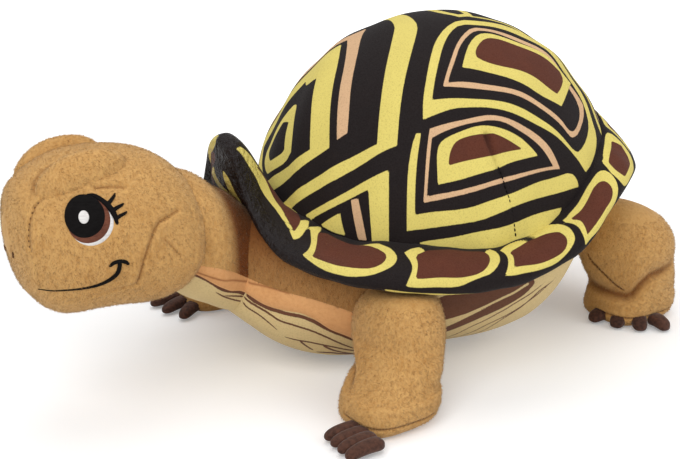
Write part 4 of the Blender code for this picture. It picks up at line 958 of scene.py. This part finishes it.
def build_body():
    """Chest, gussets, belly and rump: panels between seam lines over the rings of the body."""
    y = np.concatenate([np.linspace(THROAT - MOUTH_DEPTH, THROAT, 8),
                        np.linspace(THROAT + 0.0005, BIB_END, 110)])
    rings, cap = torso_rings(y)
    chest = seam_turn(rings, y, CHEST_SEAM, BODY_FULLNESS)
    bib = np.maximum(seam_turn(rings, y, BIB_SEAM, BODY_FULLNESS), chest + 0.02)
    columns = 40
    down = np.linspace(0, 1, columns) * np.ones((len(y), 1))
    for name, side in SIDES:
        points = body_patch(y, rings, 0 * chest, chest, columns, BODY_FULLNESS, 0.001, cap, side)
        # Painted shade: darkest at the chest's top under the rim and towards the throat behind the
        # neck, paler down the side.
        dark = 0.95 - 0.45 * smooth(((0, 0), (0.5, 0.1), (1, 1)), down)
        dark = dark * np.clip(1.15 - (points[..., 1] - THROAT) * 6, 0.4, 1)
        piece = cloth("chest_cloth_" + name, points, wrap=False, marks={"painted_shade": dark})
        dress(piece, PLUSH, "torso", ["chest_" + name])
        pile("chest_pile_" + name, points, 5000, 0.0014, "torso", 5, wrap=False, dark=dark)
        points = body_patch(y, rings, chest, bib, columns, BODY_FULLNESS, 0.0012, cap, side)
        # Painted shade along the gusset's fold.
        piece = cloth("gusset_cloth_" + name, points, wrap=False,
                      marks={"painted_shade": painted_fold_shade(points)})
        dress(piece, SATIN, "torso", ["gusset_" + name])
    half = body_patch(y, rings, bib, np.pi + 0 * bib, 110, BODY_FULLNESS, 0.0015, cap)
    panels = [np.concatenate([half, half[:, -2::-1] * [-1, 1, 1]], 1)]
    y = np.linspace(BIB_END, BELLY_END, 200)
    rings, cap = torso_rings(y)
    for low, high, columns in ((-0.4, 0.4, 40), (0.4, 1.6, 400)):
        turns = (np.full(len(y), share * np.pi) for share in (low, high))
        panels.append(body_patch(y, rings, *turns, columns, BODY_FULLNESS, 0, cap))
    parts = [cloth("panel", points, wrap=False, marks={"print": bib_print(points)})
             for points in panels[::-1]]
    dress(join("plastron", parts), BIB, "torso",
          ["plastron_panel", "torso_filling"])
    y = np.concatenate([np.linspace(BELLY_END, RUMP - 0.004, 30),
                        np.linspace(RUMP - 0.003, RUMP, 6)])
    rings, cap = torso_rings(y)
    points = body_patch(y, rings, 0 * y, 2 * np.pi + 0 * y, 120, BODY_FULLNESS, 0, cap)
    rump = cloth("rump", points[:, :-1], end=(0, RUMP + 0.0004, rings[-1, 2]))
    dress(rump, PLUSH, "torso", ["rump_cover"])


def build_neck():
    """Neck sleeve in the same panels as the chest, from inside the body to inside the head."""
    y = np.linspace(NECK_FRONT, NECK_REAR, 110)
    rings = smooth(NECK, y)
    chest = seam_turn(rings, y, CHEST_SEAM, NECK_FULLNESS)
    bib = np.maximum(seam_turn(rings, y, BIB_SEAM, NECK_FULLNESS), chest + 0.01)
    sleeve = body_patch(y, rings, -chest, chest, 72, NECK_FULLNESS)
    # Painted shade over the neck's rear, where it passes under the rim into the body.
    dark = smooth(NECK_SHADE, y)[:, None] * np.ones(72)
    fur = pile("neck_pile", sleeve, 9000, 0.0014, None, 9, wrap=False, dark=dark)
    pieces = [fur, dress(cloth("neck_sleeve", sleeve, wrap=False, marks={"painted_shade": dark}),
                         PLUSH, None, ["neck_cover", "neck_filling"])]
    for name, side in SIDES:
        band = body_patch(y, rings, chest, bib, 30, NECK_FULLNESS, 0.0006, None, side)
        # Painted shade along the throat band's fold.
        pieces.append(dress(cloth("throat_band_" + name, band, wrap=False,
                                  marks={"painted_shade": painted_fold_shade(band)}),
                            SATIN, None, ()))
    throat = body_patch(y, rings, bib, 2 * np.pi - bib, 150, NECK_FULLNESS, 0.0008)
    pieces.append(dress(cloth("throat_bib", throat, wrap=False,
                              marks={"print": bib_print(throat)}),
                        BIB, None, ()))
    for piece in pieces:
        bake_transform(piece)


# Head

# (share of the length, half width, top, underside, lean), in half sizes of the head
HEAD = ((0, 0.14, 0.36, -0.06, 0), (0.037, 0.46, 0.61, -0.42, 0), (0.111, 0.69, 0.79, -0.72, 0),
        (0.2, 0.82, 0.92, -0.89, 0.01), (0.3, 0.895, 1.0, -0.94, 0.03),
        (0.42, 0.955, 1.03, -0.94, 0.05), (0.593, 1, 1.0, -0.955, 0.09),
        (0.765, 1.01, 0.88, -0.985, 0.13), (0.889, 0.985, 0.68, -0.94, 0.16),
        (0.96, 0.91, 0.53, -0.85, 0.15), (1.005, 0.76, 0.4, -0.68, 0.12),
        (1.03, 0.5, 0.2, -0.42, 0.1))
HEAD_SEAMS = (
    # depth and half width of the groove in millimetres, then places on the near side
    (0.9, 1.0, ((30.5, -164.1, 96.7), (32.2, -169.1, 95.4), (33.4, -174.2, 93.9),
                (34.1, -177, 91.1), (34.6, -179.2, 86.8), (34.5, -181.2, 82.3),
                (33.6, -183, 76.6), (31.8, -184, 70.9), (30.1, -184.9, 67.4))),
    (0.45, 0.7, ((30.1, -184.9, 67.4), (28.9, -192, 66.4), (27.6, -198.1, 65.2),
                 (25.3, -208.2, 63.4), (19, -217.1, 61))),
    (0.6, 0.7, ((34.4, -172.9, 86.5), (34.4, -169.9, 82.8), (34.2, -166.3, 78))),
    (0.6, 0.8, ((18.1, -217.4, 108), (17.7, -220.9, 104.3), (18.3, -223, 100.6),
                (18.5, -224.3, 96.2), (18.7, -224.8, 91.2), (18.9, -224.8, 86.5))),
    (0.9, 1.2, ((24.9, -197.8, 110.6), (25.7, -191.9, 110.2), (26.7, -186.6, 109.4))),
)
HEAD_SIZE = np.array([0.069, 0.079, 0.072])
HEAD_PIVOT = np.array([0, -0.150, 0.079])
HEAD_LIFT, HEAD_FULLNESS = 0.006, 2.15
BROW_PLACE = np.array([0.0148, -0.1995, 0.1132])
BROW_SIZE = np.array([0.0078, 0.0200, 0.0108])
EYE_PLACE, EYE_CLEARANCE = (4.0, 3.0), 0.0104  # a place of the face, and the bare ring round it


def head_point(way, turn):
    """Point of the head: squared ellipses from nose to nape, leaning back towards the nape."""
    width, top, under, lean = np.moveaxis(smooth(HEAD, way), -1, 0)
    narrow = 1 - 0.16 * ramp(way, 0.6, 1) * np.clip(np.cos(turn) + 0.25, 0, 1)
    x = width * narrow * HEAD_SIZE[0] / 2 * power(np.sin(turn), 2 / HEAD_FULLNESS)
    height = ((top + under) / 2 * HEAD_SIZE[2] / 2
              + (top - under) * HEAD_SIZE[2] / 4 * power(np.cos(turn), 2 / HEAD_FULLNESS))
    y = HEAD_PIVOT[1] - HEAD_SIZE[1] * (1 - way) + lean * height
    return np.stack([x, y, HEAD_PIVOT[2] + HEAD_LIFT + height], -1)


def clear_of_face(places):
    """True for places outside the embroidered eye and outside the neck."""
    across, y, z = np.abs(places[:, 0]), places[:, 1], places[:, 2]
    eye_y, eye_z = face_place(*EYE_PLACE)
    clear = (y - eye_y) ** 2 + (z - eye_z) ** 2 > EYE_CLEARANCE ** 2
    return (clear | (across < 0.012)) & ((y < -0.158) | (across > 0.02) | (z > 0.1))


def build_head():
    """The head's cover, from a point at the nose back to the nape inside the neck, with its seams
    sunk in, painted shade along the seams and round the brows' feet, and its pile."""
    way = np.concatenate([0.25 * np.linspace(0, 1, 80) ** 1.6, np.linspace(0.255, 1.03, 190)])
    points = head_point(way[:, None] * np.ones(300), circle(300) * np.ones((len(way), 1)))
    nose = points[0].mean(0) - [0, 0.0012, 0]
    out = unit(np.cross(np.gradient(points, axis=0),
                        np.roll(points, -1, 1) - np.roll(points, 1, 1)))
    from_middle = points - HEAD_PIVOT + [0, 0.04, 0]
    out *= np.sign((out * from_middle).sum(-1, keepdims=True))
    painted_shade = np.zeros(points.shape[:2])
    for depth, half, line in HEAD_SEAMS:
        away, _ = near_line(points * 1000, line)
        swell = 0.3 * bump(away, 2.6 * half, 1.6 * half) - bump(away, 0, half)
        points = points + out * (swell * depth / 1000)[..., None]
        # Painted shade along each seam's groove.
        painted_shade = np.maximum(painted_shade, bump(away, 0, 0.45 * half) * min(1, 0.75 * depth))
    for _, side in SIDES:
        reach = np.linalg.norm((points - BROW_PLACE * [side, 1, 1]) / BROW_SIZE, axis=-1)
        inner = ramp(side * points[..., 0], 0.0165, 0.0135)
        # Painted shade round the foot of each brow, where it meets the head, on its inner side.
        painted_shade = np.maximum(painted_shade, 0.45 * bump(reach, 1.06, 0.08) * inner)
    head = cloth("head_cover_plush", points, start=nose, end=points[-1].mean(0),
                 marks={"painted_shade": painted_shade})
    pile("head_pile", points, 30000, 0.0013, "head", 1, keep=clear_of_face, dark=painted_shade)
    dress(head, PLUSH, "head",
          ["head_cover", "head_filling", "chin_panel", "cheek_left", "cheek_right"])
    for name, side in SIDES:
        build_brow(name, side)


def build_brow(name, side):
    """A padded brow, which bends over the eye, with its pile."""
    rows, columns = 60, 90
    polar = np.linspace(0.04, np.pi - 0.04, rows)[:, None] * np.ones(columns)
    around = circle(columns) * np.ones((rows, 1))
    along = -np.cos(polar)
    pad = np.stack([side * BROW_SIZE[0] * np.sin(polar) * np.cos(around),
                    BROW_SIZE[1] * power(along, 0.9),
                    BROW_SIZE[2] * np.sin(polar) * np.sin(around)], -1)
    pad[..., 2] += 0.003 * along - 0.002 * along ** 2
    pad[..., 0] += side * 0.001 * (1 - along ** 2)
    pad = pad + BROW_PLACE * [side, 1, 1]
    brow = cloth("brow_" + name, pad, start=pad[0].mean(0), end=pad[-1].mean(0))
    pile("brow_pile_" + name, pad, 3500, 0.0013, "head", 3, keep=clear_of_face)
    dress(brow, PLUSH, "head", ["brow_pad_" + name])


# Legs and tail

THIGH_SEAM = ((52.5, 64.5, 38.5), (53.7, 65.4, 35.7), (58.9, 66.3, 32.4), (63.9, 68.3, 28.4),
              (67.7, 70.9, 24.4), (71.3, 73.6, 20.4))
FOOT_HALF_WIDTH, FOOT_HALF_LENGTH = 0.022, 0.025
HIP_SHARE = 0.97      # of its full size that a leg has at the hip
SOLE_SEAM = 0.0068    # height of the seam over the sole
SEAM_DEPTH = 0.0007
CLAW_REST = 0.0003    # height of the claws' underside over the ground
CLAW_ROOT = 0.007     # length of a claw inside the foot
CLAW_PLACES = (-1, -1 / 3, 1 / 3, 1)
TAIL_ROOT, TAIL_REACH = np.array([0, 0.107, 0.070]), np.array([0, 0.024, -0.016])
TAIL = ((-0.35, 0.003), (-0.2, 0.0085), (0, 0.010), (0.5, 0.0068), (1, 0.0038), (1.07, 0.0025),
        (1.1, 0.0004))  # radius at shares of the reach

# The fold over the foot is a depth, with its height and strength at turns in degrees; slim is how
# far the inner front side stands back, lean and round_off shape the top over the hip.
Limb = namedtuple("Limb", "name side hip half_width radius foot claws fold slim lean round_off")
# The row's turn in degrees, its shift to the side and half width, how much the claws fan out,
# their size against the plain one, and how far they stand out.
Claws = namedtuple("Claws", "turn shift half fan size length")
FRONT_CLAWS = {"left": Claws(-4, 0.0145, 0.0085, 0.06, 1, 0.0120),
               "right": Claws(6, -0.008, 0.0150, 0.5, 1.15, 0.0125)}
FRONT_FOLD = (0.0034, ((0, 0.017, 0), (180, 0.017, 0), (196, 0.0185, 0.5), (212, 0.0225, 1),
                       (236, 0.0225, 1), (268, 0.0225, 0.4), (300, 0.0225, 0), (360, 0.0225, 0)))
HIND_FOLD = (0.0030, ((0, 0.034, 0), (40, 0.034, 0), (62, 0.034, 0.5), (82, 0.0325, 0.8),
                      (105, 0.0305, 1), (122, 0.025, 1), (134, 0.0195, 1), (145, 0.0178, 1),
                      (176, 0.0183, 1), (205, 0.019, 0.8), (240, 0.019, 0), (360, 0.034, 0)))


def limbs():
    """The four legs."""
    made = []
    for name, side in SIDES:
        mirror = np.array([side, 1, 1])
        made.append(Limb("front_" + name, side, mirror * (0.068, -0.079, 0.034), 0.028, 0.0225,
                         mirror * (0.084, -0.091, 0), FRONT_CLAWS[name], FRONT_FOLD, 0.0062,
                         (0, 0.002, 0), 0.42))
        made.append(Limb("hind_" + name, side, mirror * (0.056, 0.089, 0.042), 0.028, 0.026,
                         mirror * (0.060, 0.096, 0),
                         Claws(38 * side, 0, 0.0165, 0.75, 1.25, 0.0055), HIND_FOLD, 0,
                         (-0.002 * side, -0.014, 0), 0.95))
    return made


def leg_points(leg, rows, columns):
    """Rings of a leg: a squarish sole that lifts at the heel, a rounder ring at each level, a fold
    over the foot that bites in where its table says, and a round top over the hip. The painted
    shade in the fold comes with them."""
    high = leg.hip[2]
    # (share of the rows, height, way from foot to hip, size, way to the toes)
    table = ((0.0, 0.0002, 0, 0.62, -1), (0.05, 0.0008, 0, 0.76, -0.8),
             (0.12, 0.0035, 0, 0.91, -0.45), (0.2, 0.0075, 0, 0.98, -0.15),
             (0.3, 0.013, 0.04, 0.98, 0.0), (0.5, 0.48 * high, 0.24, 0.94, 0),
             (0.75, 0.73 * high, 0.6, 0.95, 0), (1.0, high, 1, HIP_SHARE, 0))
    level, way, size, toe = smooth(table, np.linspace(0, 1, rows)).T
    rise = np.radians(np.linspace(4, 84, rows // 2))
    centre = leg.foot + (leg.hip - leg.foot) * way[:, None] + [0, 0.0045, 0] * toe[:, None]
    top = leg.hip + np.array(leg.lean) * (1 - np.cos(rise))[:, None]
    centre = np.concatenate([centre, top])
    wide, deep = (np.concatenate([size * (foot + (hip - foot) * way),
                                  HIP_SHARE * hip * np.cos(rise) ** leg.round_off])
                  for foot, hip in ((FOOT_HALF_WIDTH, leg.half_width),
                                    (FOOT_HALF_LENGTH, leg.radius)))
    level = np.concatenate([level, high + leg.radius * np.sin(rise)])[:, None]
    turn = circle(columns)
    depth, folds = leg.fold
    folds = np.array(folds)
    at, strong = (np.interp(np.degrees(turn), folds[:, 0], folds[:, k]) for k in (1, 2))
    strong = strong ** 2 * (3 - 2 * strong)
    above = level - at
    bite = bump(above, 0, np.where(above > 0, 0.0050, 0.0026)) * strong
    bulge = bump(above, -0.0085, 0.006) * strong
    inner = ((0.5 + 0.5 * np.cos(turn - math.radians(215))) ** 1.3
             * (0.6 + 0.4 * ramp(level, 0.016, 0.022)))
    heel = (0.5 + 0.5 * np.cos(turn - math.radians(35))) ** 2 * ramp(level, 0.022, 0.008)
    grow = -depth * bite + 0.15 * depth * bulge - leg.slim * inner - 0.0028 * heel
    square = 2 / (2.2 + 0.9 * ramp(level, 0.017, 0.005))
    x = centre[:, :1] + leg.side * (wide[:, None] + grow) * power(np.sin(turn), square)
    y = centre[:, 1:2] + (deep[:, None] + grow) * power(np.cos(turn), square)
    # The second value is the painted shade along the fold.
    return (np.stack([x, y, level * np.ones(columns)], -1),
            0.8 * bump(above, 0, 0.0022) * strong)


def build_leg(leg):
    """A leg's plush cover with its sole, the seam round the sole with its stitches, the seam down
    the hind thigh, and the row of claws in front of the foot."""
    body = leg.name + "_leg"
    points, painted_shade = leg_points(leg, 150, 260)
    outer = np.abs(points[..., 0]) > abs(leg.foot[0]) - 0.004
    seam = bump(points[..., 2], SOLE_SEAM, 0.0006) * outer
    if leg.name.startswith("hind"):
        thigh = lay_on(points * 1000, THIGH_SEAM)
        away, _ = near_line(points * 1000, thigh)
        seam = np.maximum(seam, 1.6 * bump(away, 0, 0.8))
        stitches(leg.name + "_thigh_stitches", thigh * [leg.side, 1, 1] / 1000, 14, 0.0011,
                 0.00024, SEAM_THREAD, body)
    flat = unit((points - points.mean(1, keepdims=True)) * [1, 1, 0])
    points = points - flat * SEAM_DEPTH * seam[..., None]
    # Painted shade in the fold and in the sunk seams.
    painted_shade = np.clip(painted_shade + 0.55 * seam, 0, 1)
    pile(body + "_pile", points, 15000, 0.0015, body, 7, dark=painted_shade,
         keep=lambda place: (place[:, 2] > 0.003) & (place[:, 2] < leg.hip[2] + 0.018))
    cover = cloth(body + "_plush", points, start=points[0].mean(0), end=points[-1].mean(0),
                  marks={"painted_shade": painted_shade})
    dress(cover, PLUSH, body,
          [body + "_cover", body + "_filling", leg.name + "_sole"])
    row = int(np.argmin(np.abs(points[:, 0, 2] - SOLE_SEAM)))
    ring = np.roll(points[row], 20, axis=0) + flat[row] * 0.0001
    stitches(leg.name + "_sole_stitches", ring[35:130], 34, 0.0011, 0.00022, SEAM_THREAD, body)
    row = join(leg.name + "_claw_row", [claw(leg, place) for place in CLAW_PLACES])
    dress(row, SUEDE, body, [leg.name + "_claws"])


def claw(leg, place):
    """One claw, at a place from -1 to 1 along the row: a soft rod that stands out of the foot."""
    turn, fan = math.radians(leg.claws.turn), leg.claws.fan
    ahead = np.array([math.sin(turn), -math.cos(turn), 0])
    beside = np.array([math.cos(turn), math.sin(turn), 0])
    out = ahead * math.cos(fan * place) + beside * math.sin(fan * place)
    side = beside * math.cos(fan * place) - ahead * math.sin(fan * place)
    base = (leg.foot + ahead * (0.0245 - 0.0045 * leg.claws.size * fan * place ** 2)
            + beside * (leg.claws.shift + leg.claws.half * place))
    t, around = np.linspace(0, 1, 44)[:, None], circle(32)
    start = np.clip(1 - np.clip(1 - 3 * t, 0, 1) ** 4, 0.01, 1)
    end = np.clip(1 - t ** 9, 0.0001, 1)
    radius = 0.0038 * leg.claws.size * np.sqrt(end * start) * (1 - 0.2 * t)
    reach = -CLAW_ROOT + (CLAW_ROOT + leg.claws.length) * t
    height = 0.0042 - 0.0014 * t + 0.0010 * np.sin(np.pi * t)
    across = radius * power(np.cos(around), 0.7)
    height = height + 0.72 * radius * power(np.sin(around), 0.7)
    points = (base + out * reach[..., None] + side * across[..., None]
              + np.array([0, 0, 1]) * height[..., None])
    points[..., 2] = np.maximum(points[..., 2], CLAW_REST)
    return cloth("claw", points, start=points[0].mean(0), end=points[-1].mean(0))


def build_tail():
    """A short taper that hangs from the rump."""
    up = np.cross([1, 0, 0], unit(TAIL_REACH))
    way = np.linspace(-0.35, 1.1, 60)
    radius = smooth(TAIL, way)[:, None]
    turn = circle(40)
    points = (TAIL_ROOT + TAIL_REACH * way[:, None, None]
              + np.array([1, 0, 0]) * (radius * np.sin(turn))[..., None]
              + up * (radius * np.cos(turn))[..., None])
    tail = cloth("tail_plush", points, start=points[0].mean(0), end=points[-1].mean(0))
    dress(tail, PLUSH, "tail", ["tail_cover", "tail_filling"])


# Face

# Round fields of the eye: name, middle and radii on the face, height, thread
EYE_FIELDS = (("white", (4.8, 4.9), (23.4, 23.6), 0.0005, WHITE),
              ("iris", (2.0, 3.0), (22.4, 22.4), 0.0009, IRIS),
              ("disc", (-2.0, -1.0), (20.4, 20.6), 0.0014, BLACK),
              ("glint", (-3.6, -0.7), (5.4, 6.2), 0.0020, WHITE))
FIELD_SWELL, FIELD_SINK = 0.0007, 0.0006
# Stitched lines: name, places on the face, half width in millimetres at each
FACE_LINES = (
    ("lash_line", ((2, -21.5), (9, -20.5), (17, -15.5), (24, -9), (29, -1), (31.5, 7)),
     (0.5, 0.9, 1.1, 1.25, 1.1, 0.6)),
    ("lash_top", ((22, -12), (26, -15.5), (30, -19.5), (31.5, -22)), (0.9, 0.8, 0.65, 0.35)),
    ("lash_middle", ((27, -6), (32, -8.5), (37, -10.5), (39.5, -12)), (0.9, 0.8, 0.65, 0.35)),
    ("lash_low", ((30, 2), (35, -0.5), (40, -2.5), (42.5, -4)), (0.9, 0.75, 0.6, 0.35)),
    ("mouth_line", ((-38, 80.5), (-30, 79.7), (-11, 77.2), (7, 75.5), (21, 72), (30.5, 67),
                    (36.5, 60.5), (37.7, 53), (37, 48)),
     (0.22, 0.3, 0.42, 0.55, 0.75, 0.9, 0.95, 0.9, 0.85)),
    ("mouth_corner", ((27, 51.5), (31, 48.2), (37, 46.9), (43, 48), (47.5, 51)),
     (0.6, 0.85, 0.85, 0.85, 0.6)))
# Threads on the near side, in millimetres
NOSE_SEAM = np.array(((17.9, -218.5, 106.5), (17.9, -221.3, 103.9), (18.3, -223.3, 100.2),
                      (18.5, -224.5, 96.1), (18.7, -225, 91.4), (18.9, -225, 87.2)))
NOSTRIL = np.array(((6.0, -228.6, 83.2), (5.3, -228.4, 80.2)))


def face_place(right, down):
    """Place along the head and height of a point of the face, counted from the eye's middle in
    steps of 0.4 mm to the right and down as the face is seen from its side."""
    return (-0.2037 + 0.000368 * right - 0.000058 * down,
            0.0997 - 0.000024 * right - 0.000398 * down)


def head_near(y, z, side, lift):
    """Points over the head's side at given heights and places along it, with the surface's
    outward normal: the way and the turn are corrected until they meet the place."""
    way = np.clip((y - HEAD_PIVOT[1]) / HEAD_SIZE[1] + 1, 0.02, 1)
    turn = np.full(way.shape, 0.5 * np.pi)
    small = 1e-4
    for _ in range(12):
        here = head_point(way, turn)
        in_way = (head_point(way + small, turn) - here) / small
        in_turn = (head_point(way, turn + small) - here) / small
        miss_y, miss_z = y - here[..., 1], z - here[..., 2]
        det = in_way[..., 1] * in_turn[..., 2] - in_turn[..., 1] * in_way[..., 2]
        det = np.where(np.abs(det) < 1e-7, -1e-7, det)
        more_way = (miss_y * in_turn[..., 2] - miss_z * in_turn[..., 1]) / det
        more_turn = (miss_z * in_way[..., 1] - miss_y * in_way[..., 2]) / det
        way = np.clip(way + np.clip(more_way, -0.1, 0.1), 0.001, 1)
        turn = np.clip(turn + np.clip(more_turn, -0.2, 0.2), 0.05, 3.05)
    out = unit(np.cross(in_turn, in_way))
    out *= np.sign(out[..., :1])
    return (here + out * lift[..., None]) * [side, 1, 1], out * [side, 1, 1]


def stitched_field(name, side, middle, radii, height, thread):
    """A round field of satin stitch that lies on the head and swells to its middle."""
    r, a = np.linspace(0.02, 1, 26)[:, None], circle(72)
    y, z = face_place(middle[0] + radii[0] * r * np.cos(a), middle[1] + radii[1] * r * np.sin(a))
    swell = FIELD_SWELL * np.sqrt(np.clip(1 - r ** 4, 0, 1)) * np.ones(a.shape)
    points, _ = head_near(y, z, side, height + swell - FIELD_SINK)
    field = cloth(name, points, start=points[0].mean(0))
    return dress(field, thread, "head")


def stitched_line(name, side, places, half_widths):
    """A line of satin stitch: a flattened thread along places of the face."""
    t = np.linspace(0, 1, len(places))
    fine = np.linspace(0, 1, 8 * len(places))
    path = smooth(np.column_stack([t, places]), fine)
    wide = smooth(np.column_stack([t, half_widths]), fine) / 1000
    y, z = face_place(path[:, 0], path[:, 1])
    points, out = head_near(y, z, side, 0.25 * wide)
    dress(tube(name, points, wide, LINE_SIDES, 0.75, out), BLACK, "head")


def build_face():
    """Embroidery on each side of the head: the eye in its layers, lashes, mouth and nostril."""
    for name, side in SIDES:
        for label, *field in EYE_FIELDS:
            piece = stitched_field("eye_%s_%s" % (label, name), side, *field)
            if label == "disc":
                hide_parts("eye_" + name)
        for label, *line in FACE_LINES:
            stitched_line(label + "_" + name, side, *line)
        mirror = np.array([side, 1, 1]) / 1000
        stitches("nose_stitches_" + name, NOSE_SEAM * mirror, 9, 0.0009, 0.00022, SEAM_THREAD,
                 "head")
        stitches("nostril_" + name, NOSTRIL * mirror, 1, 0.0034, 0.0005, SEAM_THREAD, "head")


# Stage

LAMPS = (("key", (0.55, -0.75, 0.95), 0.7, 6.5), ("fill", (0.9, 0.5, 0.6), 0.8, 3.0),
         ("top", (-0.2, 0.1, 1.2), 0.9, 4.0))  # place, size in metres, watts
LAMP_AIM = (0, 0, 0.06)
CAMERA_PLACE, CAMERA_AIM = np.array([0.40694, -0.33136, 0.220]), (-0.793, 0.525, -0.309)
CAMERA_LENS, CAMERA_SENSOR = 52.94, 36
FLOOR = np.array([[[-4, -4, 0], [4, -4, 0]], [[-4, 4, 0], [4, 4, 0]]], float)


def stage_object(name, data, place, aim):
    """A lamp or camera at a place, looking along a direction."""
    obj = bpy.data.objects.new(name, data)
    obj.location = place
    obj.rotation_euler = Vector(aim).to_track_quat("-Z", "Y").to_euler()
    bpy.context.scene.collection.objects.link(obj)
    return obj


def build_stage():
    """Pale floor, soft lamps and the camera."""
    floor = cloth("floor", FLOOR, wrap=False, moved=False)
    material = bpy.data.materials.new("pale_floor")
    material.use_nodes = True
    tree = material.node_tree
    shader = tree.nodes["Principled BSDF"]
    for key, value in (("Base Color", (0.9, 0.9, 0.9, 1)), ("Roughness", 0.9),
                       ("Emission Color", (1, 1, 1, 1))):
        shader.inputs[key].default_value = value
    seen = add(tree, "ShaderNodeLightPath").outputs["Is Camera Ray"]
    place = add(tree, "ShaderNodeTexCoord").outputs["Object"]
    away = add(tree, "ShaderNodeVectorMath", {0: place}, operation="LENGTH").outputs["Value"]
    glow = spread(tree, away, 0.25, 1.1, 0.22, 1.0)
    tree.links.new(calc(tree, "MULTIPLY", seen, glow), shader.inputs["Emission Strength"])
    floor.data.materials.append(material)
    world = bpy.data.worlds.new("studio")
    bpy.context.scene.world = world
    world.use_nodes = True
    tree = world.node_tree
    seen = add(tree, "ShaderNodeLightPath").outputs["Is Camera Ray"]
    back = tree.nodes["Background"]
    back.inputs["Color"].default_value = (1, 1, 1, 1)
    tree.links.new(spread(tree, seen, 0.0, 1.0, 0.5, 1.0), back.inputs["Strength"])
    for name, place, size, watts in LAMPS:
        lamp = bpy.data.lights.new(name, "AREA")
        lamp.size, lamp.energy = size, watts
        stage_object(name, lamp, place, Vector(LAMP_AIM) - Vector(place))
    camera = bpy.data.cameras.new("camera")
    camera.lens, camera.sensor_width = CAMERA_LENS, CAMERA_SENSOR
    bpy.context.scene.camera = stage_object("camera", camera, CAMERA_PLACE + SHIFT, CAMERA_AIM)
    bpy.context.scene.view_settings.view_transform = "Standard"


build_stage()
build_dome()
build_rim()
build_body()
build_neck()
build_head()
build_face()
for leg in limbs():
    build_leg(leg)
build_tail()
